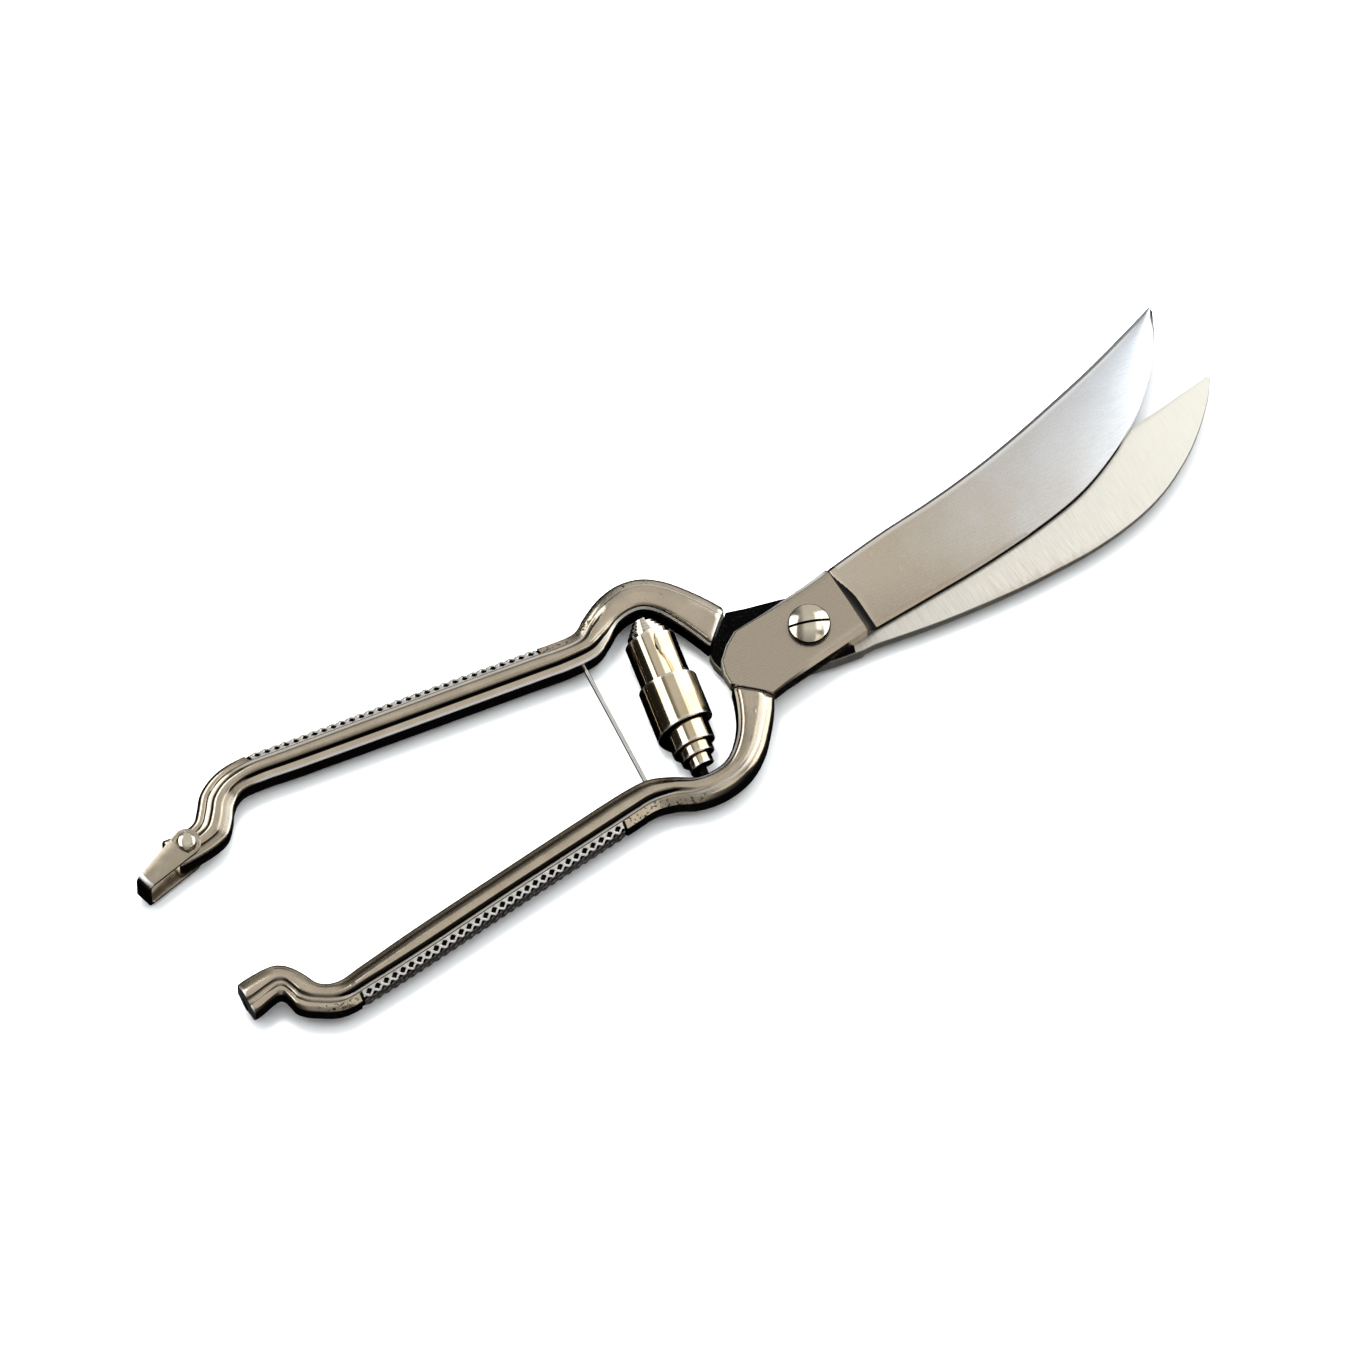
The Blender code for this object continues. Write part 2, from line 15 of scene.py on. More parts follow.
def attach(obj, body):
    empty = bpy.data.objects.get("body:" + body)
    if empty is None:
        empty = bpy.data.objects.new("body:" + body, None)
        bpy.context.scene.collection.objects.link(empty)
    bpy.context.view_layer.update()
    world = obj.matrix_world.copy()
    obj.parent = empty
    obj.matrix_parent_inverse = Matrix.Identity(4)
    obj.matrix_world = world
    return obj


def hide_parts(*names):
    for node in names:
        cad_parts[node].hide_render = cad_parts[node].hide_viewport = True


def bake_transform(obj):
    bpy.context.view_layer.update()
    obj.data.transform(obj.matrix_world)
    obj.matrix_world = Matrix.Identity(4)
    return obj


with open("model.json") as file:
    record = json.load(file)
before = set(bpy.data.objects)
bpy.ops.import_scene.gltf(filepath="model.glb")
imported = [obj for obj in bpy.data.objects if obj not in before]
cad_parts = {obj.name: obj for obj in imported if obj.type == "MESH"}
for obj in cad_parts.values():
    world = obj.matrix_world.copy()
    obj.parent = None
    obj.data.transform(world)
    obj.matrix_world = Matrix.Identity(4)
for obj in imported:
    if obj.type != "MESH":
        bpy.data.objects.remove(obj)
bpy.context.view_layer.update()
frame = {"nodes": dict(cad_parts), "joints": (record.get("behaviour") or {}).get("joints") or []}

MM = 0.001
JOINTS = {joint["name"]: joint for joint in frame["joints"]}
JOINT_PLANE = JOINTS["main_pivot"]["pos_m"][2] / MM
OPENING = JOINTS["main_pivot"]["range_deg"][1]
RIVET = tuple(coordinate / MM for coordinate in JOINTS["catch_swing"]["pos_m"][:2])

FACE_GAP = 0.15  # from the joint plane to each half's inner face
GAP = 0.3

# Handles
HANDLE_HALF = 4.3  # half the thickness of a handle
HANDLE_END_HALF = 3.8
HANDLE_THINNING = (18.0, 30.0)  # from the free end, where the thickness changes
HOOK_START = (1.5, 7.0)  # from the end of the knurl, where the handle turns round
NECK_LENGTH = 25.0  # of the stretch with a flat top next to the pivot
NECK_BLEND = 13.0
NECK_ROUNDING = 0.35  # radius of the rim where a handle meets its blade
RING_STEP = 0.6
FACET_TOP = 2.88  # height of the outer facet's upper edge on a bar
FACET_INSET = 1.72  # from the outline to that edge
SIDE_HALF = 2.1  # half the height of the upright outer side
KNURL_PITCH = 2.14
KNURL_PIT = (0.84, 0.70)  # half a pit's length along the handle and around it
KNURL_DEPTH = 0.42
FRONT_KNURL = (-122.3, -56.4)  # X where the knurled stretches start and end
REAR_KNURL = (-116.6, -52.6)

# Ricasso and blades
RICASSO_THICKNESS = 4.4
SPINE_THICKNESS = 4.2
TIP_THICKNESS = 1.5
EDGE_THICKNESS = 0.5
BACK_BEVEL = 0.9
BACK_WALL = 0.73
EDGE_BEVEL = 0.5
FACE_STEPS = 14
BACK_POINTS = 5  # of a plate's section before its face
SHOULDER_LENGTH = 2.5  # of the concave step from the flat down to the blade
BORE_RADIUS = 3.1
NUT_RECESS_RADIUS = 5.6
NUT_RECESS_TOP = 3.5

FRONT_HANDLE = (
    ((-21.1, -3.4), (-14.1, -9.7)),
    ((-22.2, -6.8), (-15.8, -12.4)),
    ((-24.2, -10.9), (-18.7, -16.0)),
    ((-26.8, -14.4), (-22.3, -19.7)),
    ((-30.1, -17.0), (-27.3, -22.7)),
    ((-34.0, -17.8), (-33.6, -23.9)),
    ((-38.1, -17.1), (-39.6, -23.1)),
    ((-42.2, -14.7), (-44.6, -20.8)),
    ((-46.9, -12.8), (-48.9, -19.8)),
    ((-53.0, -12.6), (-54.0, -20.2)),
    ((-65.0, -13.6), (-66.0, -21.3)),
    ((-86.0, -15.6), (-86.6, -23.2)),
    ((-106.0, -17.6), (-106.6, -25.2)),
    ((-120.0, -19.3), (-120.6, -26.3)),
    ((-126.5, -20.0), (-128.5, -26.4)),
    ((-130.1, -18.4), (-134.0, -23.6)),
    ((-131.7, -15.3), (-136.7, -21.2)),
    ((-133.0, -13.0), (-137.3, -18.9)),
    ((-134.6, -11.2), (-137.8, -17.2)),
    ((-136.6, -10.1), (-138.8, -16.6)),
    ((-139.5, -9.8), (-140.8, -16.9)),
    ((-143.0, -9.9), (-143.4, -17.5)),
    ((-145.3, -10.2), (-145.3, -17.7)),
)
REAR_HANDLE = (
    ((-20.7, 6.6), (-13.2, 13.2)),
    ((-21.8, 9.8), (-15.2, 16.8)),
    ((-23.6, 14.2), (-18.1, 21.2)),
    ((-25.7, 18.2), (-21.2, 25.0)),
    ((-28.2, 20.8), (-25.2, 28.0)),
    ((-31.0, 21.5), (-30.2, 29.2)),
    ((-34.4, 20.9), (-35.4, 28.4)),
    ((-38.0, 18.8), (-40.2, 26.2)),
    ((-42.2, 17.0), (-43.8, 24.2)),
    ((-48.8, 17.2), (-49.4, 24.6)),
    ((-55.0, 18.1), (-56.0, 25.7)),
    ((-83.0, 22.2), (-84.1, 29.8)),
    ((-108.0, 25.9), (-109.0, 33.3)),
    ((-117.0, 27.4), (-119.0, 34.6)),
    ((-122.3, 27.6), (-125.4, 34.2)),
    ((-125.4, 25.8), (-130.3, 31.9)),
    ((-127.6, 22.8), (-133.0, 28.8)),
    ((-130.2, 20.3), (-134.8, 26.8)),
    ((-133.8, 19.3), (-137.0, 26.1)),
    ((-138.0, 19.0), (-139.2, 25.9)),
    ((-142.4, 19.0), (-143.0, 26.4)),
)
FRONT_RICASSO = (
    ((-21.1, -0.5), (-10.7, -9.1)),
    ((-20.2, 2.4), (-7.0, -8.7)),
    ((-17.6, 4.9), (-3.5, -8.3)),
    ((-14.4, 6.9), (0.0, -7.9)),
    ((-6.0, 7.5), (4.5, -7.4)),
    ((3.0, 8.5), (8.0, -7.0)),
    ((9.6, 9.5), (10.2, -6.8)),
)
REAR_RICASSO = (
    ((-21.3, 0.2), (-10.8, 9.9)),
    ((-20.2, -2.4), (-7.0, 9.7)),
    ((-17.6, -4.9), (-3.2, 9.5)),
    ((-14.4, -6.9), (0.5, 8.9)),
    ((-6.0, -7.5), (4.5, 8.2)),
    ((3.0, -7.6), (8.0, 7.6)),
    ((9.6, -7.3), (10.2, 7.4)),
)
FRONT_BLADE = (
    ((11.2, 9.8), (12.6, -6.6)),
    ((24.0, 11.6), (26.0, -6.1)),
    ((37.0, 12.9), (40.0, -5.4)),
    ((49.0, 14.7), (54.0, -3.9)),
    ((60.0, 17.0), (66.0, -1.5)),
    ((70.0, 19.5), (76.0, 2.6)),
    ((79.0, 21.9), (84.0, 7.4)),
    ((86.0, 24.0), (90.0, 12.4)),
    ((92.0, 26.0), (95.2, 17.9)),
    ((96.8, 27.6), (98.4, 22.9)),
    ((100.3, 28.8), (100.8, 27.8)),
)
REAR_BLADE = (
    ((12.6, -6.8), (11.2, 8.8)),
    ((27.2, -6.3), (24.0, 10.4)),
    ((42.7, -4.8), (37.0, 12.1)),
    ((53.5, -3.1), (49.0, 14.1)),
    ((64.4, -0.8), (60.0, 16.7)),
    ((74.3, 2.6), (70.0, 19.6)),
    ((82.0, 6.7), (79.0, 22.4)),
    ((89.0, 12.4), (86.0, 24.7)),
    ((93.8, 17.8), (92.0, 26.7)),
    ((98.0, 23.9), (96.6, 28.2)),
    ((100.2, 28.5), (99.8, 29.3)),
)

# Springs and wire
SPRING_TOP = (-29.4, 20.1)
SPRING_BOTTOM = (-35.5, -16.7)
STRIP_THICKNESS = 0.5
INNER_COIL_RADIUS = 2.3
WIRE_TOP = (-45.3, 16.6)
WIRE_BOTTOM = (-47.1, -12.4)
WIRE_RADIUS = 0.5
WIRE_END = 1.5  # how far the wire goes into each handle

# Screw, rivet and strap
SHANK_RADIUS = 2.8
SCREW_HEAD_RADIUS = 4.55
SCREW_HEAD_HEIGHT = 1.9
SCREW_RIM_HEIGHT = 0.55
SCREW_SLOT_WIDTH = 0.6
SCREW_SLOT_DEPTH = 0.9
SCREW_SLOT_HEADING = -19
RIVET_RADIUS = 1.2
RIVET_HEAD_RADIUS = 2.0
RIVET_HEAD_HEIGHT = 0.9
STRAP_HEADING = 196.3
STRAP_REACH = 12.4
STRAP_THICKNESS = 0.9
STRAP_INSIDE = 8.2
STRAP_EYE_RADIUS = 3.1
STRAP_BAR_WIDTH = 3.8


# ---- Geometry helpers


def between(start, end, share):
    return tuple(a + (b - a) * share for a, b in zip(start, end))


def blended(low, high, value):
    """0 below low, 1 above high, smooth between."""
    t = min(max((value - low) / (high - low), 0.0), 1.0)
    return t * t * (3 - 2 * t)


def turned(point, degrees):
    angle = math.radians(degrees)
    x, y = point
    return x * math.cos(angle) - y * math.sin(angle), x * math.sin(angle) + y * math.cos(angle)


def opened(stations):
    """The rear half's stations moved from the closed position to the rest position."""
    return [tuple(turned(point, -OPENING) for point in station) for station in stations]


def curve_through(stations, steps):
    """Stations on smooth curves through the given ones (Catmull-Rom), steps to an interval."""
    flat = [tuple(inner) + tuple(outer) for inner, outer in stations]
    padded = [flat[0]] + flat + [flat[-1]]
    smooth = []
    for before, start, end, after in zip(padded, padded[1:], padded[2:], padded[3:]):
        for step in range(steps):
            t = step / steps
            point = []
            for a, b, c, d in zip(before, start, end, after):
                square = (2 * a - 5 * b + 4 * c - d) * t**2
                cube = (3 * b - a - 3 * c + d) * t**3
                point.append(0.5 * (2 * b + (c - a) * t + square + cube))
            smooth.append(tuple(point))
    smooth.append(flat[-1])
    return [(point[:2], point[2:]) for point in smooth]


def lengths_along(stations):
    """Length of the middle line from the first station to each."""
    lengths = [0.0]
    for near, far in zip(stations, stations[1:]):
        lengths.append(lengths[-1] + math.dist(between(*near, 0.5), between(*far, 0.5)))
    return lengths


def spaced(stations, positions):
    """Stations at the given lengths along the middle line."""
    lengths = lengths_along(stations)
    placed = []
    i = 0
    for position in positions:
        while i < len(lengths) - 2 and lengths[i + 1] < position:
            i += 1
        span = lengths[i + 1] - lengths[i]
        share = min(max((position - lengths[i]) / span, 0.0), 1.0)
        placed.append(tuple(between(near, far, share) for near, far in zip(stations[i], stations[i + 1])))
    return placed


def loft(rings, marks):
    """A closed mesh through rings of as many points, with flat ends.

    Marks are (along, across, painted_light) of each point. painted_light is 1 for painted shade, down in a
    groove, a pit or a shoulder, and -1 for a painted highlight along an edge.
    """
    solid = bmesh.new()
    layers = [solid.verts.layers.float.new(name) for name in ("along", "across", "painted_light")]
    loops = []
    for ring, ring_marks in zip(rings, marks):
        loop = []
        for point, mark in zip(ring, ring_marks):
            vert = solid.verts.new(point)
            for layer, value in zip(layers, mark):
                vert[layer] = value
            loop.append(vert)
        loops.append(loop)
    count = len(loops[0])
    for near, far in zip(loops, loops[1:]):
        for i in range(count):
            j = (i + 1) % count
            solid.faces.new((near[i], near[j], far[j], far[i]))
    solid.faces.new(loops[0])
    solid.faces.new(loops[-1])
    return solid


def finished(name, solid, materials, sharp_angle=32.0):
    """A named object from a mesh whose vertices are in millimetres."""
    bmesh.ops.recalc_face_normals(solid, faces=solid.faces)
    bmesh.ops.scale(solid, vec=(MM, MM, MM), verts=solid.verts)
    mesh = bpy.data.meshes.new(name)
    solid.to_mesh(mesh)
    solid.free()
    mesh.shade_smooth()
    mesh.set_sharp_from_angle(angle=math.radians(sharp_angle))
    for material in materials:
        mesh.materials.append(material)
    piece = bpy.data.objects.new(name, mesh)
    bpy.context.scene.collection.objects.link(piece)
    return piece


def cut(piece, solid):
    """Cut a solid, given in millimetres, out of a piece."""
    cutter = finished("Cutter", solid, [])
    modifier = piece.modifiers.new("Cut", "BOOLEAN")
    modifier.operation = "DIFFERENCE"
    modifier.solver = "MANIFOLD"
    modifier.object = cutter
    depsgraph = bpy.context.evaluated_depsgraph_get()
    result = bpy.data.meshes.new_from_object(piece.evaluated_get(depsgraph))
    piece.modifiers.clear()
    piece.data = result
    bpy.data.objects.remove(cutter)


def turned_profile(profile, segments):
    """A closed solid turned about Z from (radius, height) points that start and end on the axis."""
    solid = bmesh.new()
    bottom = solid.verts.new((0.0, 0.0, profile[0][1]))
    top = solid.verts.new((0.0, 0.0, profile[-1][1]))
    loops = []
    for radius, height in profile[1:-1]:
        loop = []
        for i in range(segments):
            angle = 2 * math.pi * i / segments
            loop.append(solid.verts.new((radius * math.cos(angle), radius * math.sin(angle), height)))
        loops.append(loop)
    for i in range(segments):
        j = (i + 1) % segments
        solid.faces.new((bottom, loops[0][j], loops[0][i]))
        solid.faces.new((top, loops[-1][i], loops[-1][j]))
        for near, far in zip(loops, loops[1:]):
            solid.faces.new((near[i], near[j], far[j], far[i]))
    return solid


def laid_along(solid, base, heading):
    """Turn a solid made along Z so that it starts at base and runs along heading."""
    turn = Vector((0, 0, 1)).rotation_difference(heading.normalized())
    place = Matrix.Translation(base) @ turn.to_matrix().to_4x4()
    bmesh.ops.transform(solid, matrix=place, verts=solid.verts)


def bored(piece, x, y, radius, bottom, top, segments=64):
    profile = ((0, bottom), (radius, bottom), (radius, top), (0, top))
    solid = turned_profile(profile, segments)
    bmesh.ops.translate(solid, vec=(x, y, 0), verts=solid.verts)
    cut(piece, solid)


# ---- Materials


NICKEL = (0.70, 0.60, 0.465, 1.0)
SCREW_NICKEL = (0.85, 0.77, 0.62, 1.0)
BLADE_STEEL = (0.57, 0.485, 0.38, 1.0)
BLADE_TIP_SHEEN = (0.82, 0.86, 0.92, 1.0)
GROUND_STEEL = (0.84, 0.795, 0.71, 1.0)
GROUND_TIP_SHEEN = (0.94, 0.91, 0.82, 1.0)
GRINDING_STAIN = (0.28, 0.18, 0.10, 1.0)
SPRING_STEEL = (0.84, 0.735, 0.555, 1.0)
HEAT_TINT = (0.80, 0.62, 0.36, 1.0)
WIRE_STEEL = (0.50, 0.485, 0.46, 1.0)
# Colours of painted light: a near-white painted highlight for edges and a near-black painted shade for
# hollows.
PAINTED_HIGHLIGHT = (0.97, 0.96, 0.94, 1.0)
PAINTED_SHADE = (0.006, 0.006, 0.006, 1.0)


class Nodes:
    """Short calls for building the node tree of a material or a world."""

    def __init__(self, owner, shader="Principled BSDF"):
        owner.use_nodes = True
        self.owner = owner
        self.tree = owner.node_tree
        self.shader = self.tree.nodes[shader]

    def add(self, kind, inputs=None, **settings):
        node = self.tree.nodes.new(kind)
        for key, value in settings.items():
            setattr(node, key, value)
        for key, value in (inputs or {}).items():
            self.put(node, key, value)
        return node

    def put(self, node, key, value):
        if isinstance(value, bpy.types.NodeSocket):
            self.tree.links.new(value, node.inputs[key])
        else:
            node.inputs[key].default_value = value

    def attribute(self, name):
        return self.add("ShaderNodeAttribute", attribute_name=name).outputs["Fac"]

    def place(self, *scale):
        """Object coordinates in millimetres times scale, given once or for each axis."""
        coordinates = self.add("ShaderNodeTexCoord").outputs["Object"]
        per_metre = tuple(s / MM for s in (scale * 3)[:3])
        return self.add("ShaderNodeMapping", {"Vector": coordinates, "Scale": per_metre}).outputs[0]

    def surface(self, along_scale, across_scale):
        """A place on a lofted surface, from its lengths along and across."""
        along = self.math("MULTIPLY", self.attribute("along"), along_scale)
        across = self.math("MULTIPLY", self.attribute("across"), across_scale)
        return self.add("ShaderNodeCombineXYZ", {0: along, 1: across}).outputs[0]

    def noise(self, vector, detail=3.0, roughness=0.55):
        inputs = {"Vector": vector, "Scale": 1.0, "Detail": detail, "Roughness": roughness}
        return self.add("ShaderNodeTexNoise", inputs).outputs["Fac"]

    def math(self, operation, a, b=0.0, c=0.0):
        return self.add("ShaderNodeMath", {0: a, 1: b, 2: c}, operation=operation).outputs[0]

    def ranged(self, value, low, high, to_low=0.0, to_high=1.0):
        inputs = {"Value": value, "From Min": low, "From Max": high, "To Min": to_low, "To Max": to_high}
        return self.add("ShaderNodeMapRange", inputs).outputs[0]

    def within(self, value, rise, fall):
        """1 inside a range of values that starts over rise and ends over fall, and 0 outside it."""
        return self.math("MULTIPLY", self.ranged(value, *rise), self.ranged(value, *fall, 1.0, 0.0))

    def mix(self, share, a, b):
        node = self.add("ShaderNodeMix", data_type="RGBA")
        self.put(node, 0, share)
        self.put(node, 6, a)
        self.put(node, 7, b)
        return node.outputs[2]

    def with_painted_light(self, tone, roughness):
        """A tone and roughness with painted light: a near-black painted shade where the mark is positive, and
        a pale, satin painted highlight where it is negative.
        """
        painted_light = self.attribute("painted_light")
        painted_edge = self.ranged(painted_light, -0.8, -0.1, 1.0, 0.0)
        tone = self.mix(painted_edge, tone, PAINTED_HIGHLIGHT)
        tone = self.mix(self.ranged(painted_light, 0.15, 0.6), tone, PAINTED_SHADE)
        return tone, self.math("MULTIPLY_ADD", painted_edge, 0.25, roughness)

    def bump(self, height, strength, distance, normal=None):
        inputs = {"Height": height, "Strength": strength, "Distance": distance * MM}
        if normal is not None:
            inputs["Normal"] = normal
        return self.add("ShaderNodeBump", inputs).outputs[0]

    def finish(self, colour, roughness, normal, metallic=1.0):
        self.put(self.shader, "Metallic", metallic)
        self.put(self.shader, "Base Color", colour)
        self.put(self.shader, "Roughness", roughness)
        self.put(self.shader, "Normal", normal)
        return self.owner


def shade(colour, factor):
    return tuple(channel * factor for channel in colour[:3]) + (1.0,)


def polished_nickel(name, colour, gloss, grain):
    """Nickel plate over a forged or pressed surface: soft blotches, a fine grain and faint rub marks."""
    nodes = Nodes(bpy.data.materials.new(name))
    blotches = nodes.noise(nodes.place(0.25), detail=4.0)
    grains = nodes.noise(nodes.place(3.2), detail=2.0)
    rubs = nodes.noise(nodes.place(1.1, 6.0, 6.0), detail=2.0)
    tone = nodes.mix(nodes.ranged(blotches, 0.35, 0.65), shade(colour, 0.93), shade(colour, 1.05))
    tone = nodes.mix(nodes.ranged(grains, 0.58, 0.75, 0.0, 0.35), tone, shade(colour, 0.6))
    roughness = nodes.ranged(blotches, 0.3, 0.7, gloss * 0.8, gloss * 1.25)
    tone, roughness = nodes.with_painted_light(tone, roughness)
    normal = nodes.bump(grains, grain, 0.05)
    normal = nodes.bump(rubs, 0.12, 0.03, normal)
    return nodes.finish(tone, roughness, normal)


def forged_nickel(name, colour):
    """Nickel on a handle: as polished nickel, with dark casting pits left on its outer side."""
    nodes = Nodes(bpy.data.materials.new(name))
    blotches = nodes.noise(nodes.place(0.22), detail=4.0)
    grains = nodes.noise(nodes.place(2.6), detail=2.5)
    pits = nodes.noise(nodes.place(1.25), detail=3.0, roughness=0.7)
    side = nodes.attribute("across")
    outer = nodes.ranged(side, 0.74, 0.80)
    place = nodes.add("ShaderNodeSeparateXYZ", {0: nodes.place(1.0)}).outputs
    level = nodes.math("MULTIPLY_ADD", place["Y"], -0.24, place["X"])
    on_bar = nodes.within(level, (-128.0, -125.0), (-34.0, -29.0))
    pitted = nodes.math("MULTIPLY", nodes.ranged(pits, 0.55, 0.60), nodes.math("MULTIPLY", outer, on_bar))
    tone = nodes.mix(nodes.ranged(blotches, 0.35, 0.65), shade(colour, 0.92), shade(colour, 1.05))
    tone = nodes.mix(nodes.ranged(grains, 0.56, 0.75, 0.0, 0.4), tone, shade(colour, 0.55))
    tone = nodes.mix(pitted, tone, shade(colour, 0.12))
    roughness = nodes.ranged(blotches, 0.3, 0.7, 0.14, 0.22)
    tone, roughness = nodes.with_painted_light(tone, roughness)
    normal = nodes.bump(grains, 0.22, 0.05)
    normal = nodes.bump(nodes.math("MULTIPLY", pitted, -1.0), 0.5, 0.12, normal)
    return nodes.finish(tone, roughness, normal)


def satin_blade(name, colour):
    """The front blade's outer face: warm satin near the pivot with a painted sheen that turns it bluish white
    towards the tip, and scratches.
    """
    nodes = Nodes(bpy.data.materials.new(name))
    along = nodes.attribute("along")
    blotches = nodes.noise(nodes.place(0.12), detail=3.0)
    brushed = nodes.noise(nodes.place(0.25, 3.0, 1.0), detail=4.0, roughness=0.7)
    deep = nodes.noise(nodes.place(1.3, 0.16, 1.0), detail=2.0, roughness=0.5)
    tip_sheen = nodes.math("MULTIPLY_ADD", nodes.math("SUBTRACT", blotches, 0.5), 30.0, along)
    # Painted sheen: bluish white towards the tip.
    tone = nodes.mix(nodes.ranged(tip_sheen, 45.0, 120.0), colour, BLADE_TIP_SHEEN)
    tone = nodes.mix(nodes.ranged(brushed, 0.45, 0.8, 0.0, 0.22), tone, shade(colour, 0.7))
    tone = nodes.mix(nodes.ranged(deep, 0.70, 0.74, 0.0, 0.5), tone, shade(colour, 1.3))
    roughness = nodes.ranged(brushed, 0.3, 0.7, 0.25, 0.31)
    tone, roughness = nodes.with_painted_light(tone, roughness)
    return nodes.finish(tone, roughness, nodes.bump(brushed, 0.05, 0.03))


def ground_blade(name, colour):
    """A ground inner face: lines across the blade, a brown tinge where they stop short of its back, painted
    shade near the pivot and a painted sheen towards the tip.
    """
    nodes = Nodes(bpy.data.materials.new(name))
    lines = nodes.noise(nodes.surface(5.0, 0.16), detail=4.0, roughness=0.75)
    broad = nodes.noise(nodes.surface(0.9, 0.1), detail=2.0)
    across = nodes.attribute("across")
    along = nodes.attribute("along")
    reach = nodes.ranged(broad, 0.3, 0.7, 0.5, 2.6)
    near_back = nodes.math("SUBTRACT", reach, across)
    stain = nodes.ranged(near_back, 0.0, 1.6)
    middle = nodes.within(along, (50.0, 62.0), (76.0, 94.0))
    stain = nodes.math("MULTIPLY", stain, nodes.math("MULTIPLY_ADD", middle, 0.3))
    tone = nodes.mix(nodes.ranged(lines, 0.3, 0.7), shade(colour, 0.74), shade(colour, 1.12))
    # Painted shade darkens the blade near the pivot and a painted sheen whitens it towards the tip.
    tone = nodes.mix(nodes.ranged(along, 35.0, 62.0, 0.3, 0.0), tone, shade(colour, 0.5))
    tone = nodes.mix(nodes.ranged(along, 62.0, 115.0, 0.0, 0.7), tone, GROUND_TIP_SHEEN)
    tone = nodes.mix(stain, tone, GRINDING_STAIN)
    roughness = nodes.ranged(lines, 0.3, 0.7, 0.42, 0.56)
    return nodes.finish(tone, roughness, nodes.bump(lines, 0.25, 0.05), metallic=0.94)


def painted_shade_steel(name):
    """Painted shade: near-black steel for the recess between the halves and other shaded hollows."""
    nodes = Nodes(bpy.data.materials.new(name))
    grains = nodes.noise(nodes.place(2.0), detail=4.0)
    deepest_shade = (0.004, 0.004, 0.004, 1.0)
    tone = nodes.mix(nodes.ranged(grains, 0.55, 0.8), deepest_shade, (0.03, 0.025, 0.02, 1.0))
    roughness = nodes.ranged(grains, 0.3, 0.7, 0.3, 0.5)
    return nodes.finish(tone, roughness, nodes.bump(grains, 0.3, 0.08))


def rolled_spring(name, colour):
    """Spring strip: rolling lines around the coil and faint heat colours."""
    nodes = Nodes(bpy.data.materials.new(name))
    heat = nodes.noise(nodes.place(0.14), detail=2.0)
    lines = nodes.noise(nodes.surface(0.05, 5.0), detail=3.0, roughness=0.7)
    tone = nodes.mix(nodes.ranged(heat, 0.35, 0.7), colour, HEAT_TINT)
    tone = nodes.mix(nodes.ranged(lines, 0.5, 0.8, 0.0, 0.3), tone, shade(colour, 0.7))
    roughness = nodes.ranged(lines, 0.3, 0.7, 0.07, 0.12)
    tone, roughness = nodes.with_painted_light(tone, roughness)
    return nodes.finish(tone, roughness, nodes.bump(lines, 0.05, 0.04))


def paper_white():
    nodes = Nodes(bpy.data.materials.new("Studio_Floor"))
    fibres = nodes.noise(nodes.place(0.02), detail=2.0)
    tone = nodes.mix(fibres, (0.84, 0.845, 0.85, 1.0), (0.86, 0.86, 0.86, 1.0))
    nodes.put(nodes.shader, "Base Color", tone)
    nodes.put(nodes.shader, "Roughness", 0.9)
    return nodes.owner


HANDLE_FINISH = forged_nickel("Forged_Nickel", NICKEL)
FITTING_FINISH = polished_nickel("Fitting_Nickel", NICKEL, 0.2, 0.18)
SCREW_FINISH = polished_nickel("Screw_Nickel", SCREW_NICKEL, 0.12, 0.08)
STRAP_FINISH = polished_nickel("Strap_Nickel", shade(NICKEL, 0.80), 0.22, 0.3)
BLADE_FINISH = satin_blade("Satin_Blade_Steel", BLADE_STEEL)
GROUND_FINISH = ground_blade("Ground_Blade_Steel", GROUND_STEEL)
SHADE_FINISH = painted_shade_steel("Painted_Shade_Black")
SPRING_FINISH = rolled_spring("Spring_Steel", SPRING_STEEL)
WIRE_FINISH = polished_nickel("Wire_Steel", WIRE_STEEL, 0.12, 0.05)


# ---- Handles


# The third number of each point is its painted light: painted shade on the groove's walls.
RIB_SHOULDER = (  # between the flange and the rib: without and with its groove
    ((1.30, 3.00, 0.0), (1.70, 2.86, 0.0)),
    ((1.50, 3.20, 0.0), (1.84, 2.86, 0.7)),
    ((1.72, 3.40, 0.0), (2.10, 2.88, 1.0)),
    ((1.95, 3.61, 0.0), (2.12, 3.30, 1.0)),
    ((2.20, 3.81, 0.0), (2.20, 3.64, 0.9)),
    ((2.48, 3.99, 0.0), (2.42, 3.92, 0.2)),
)


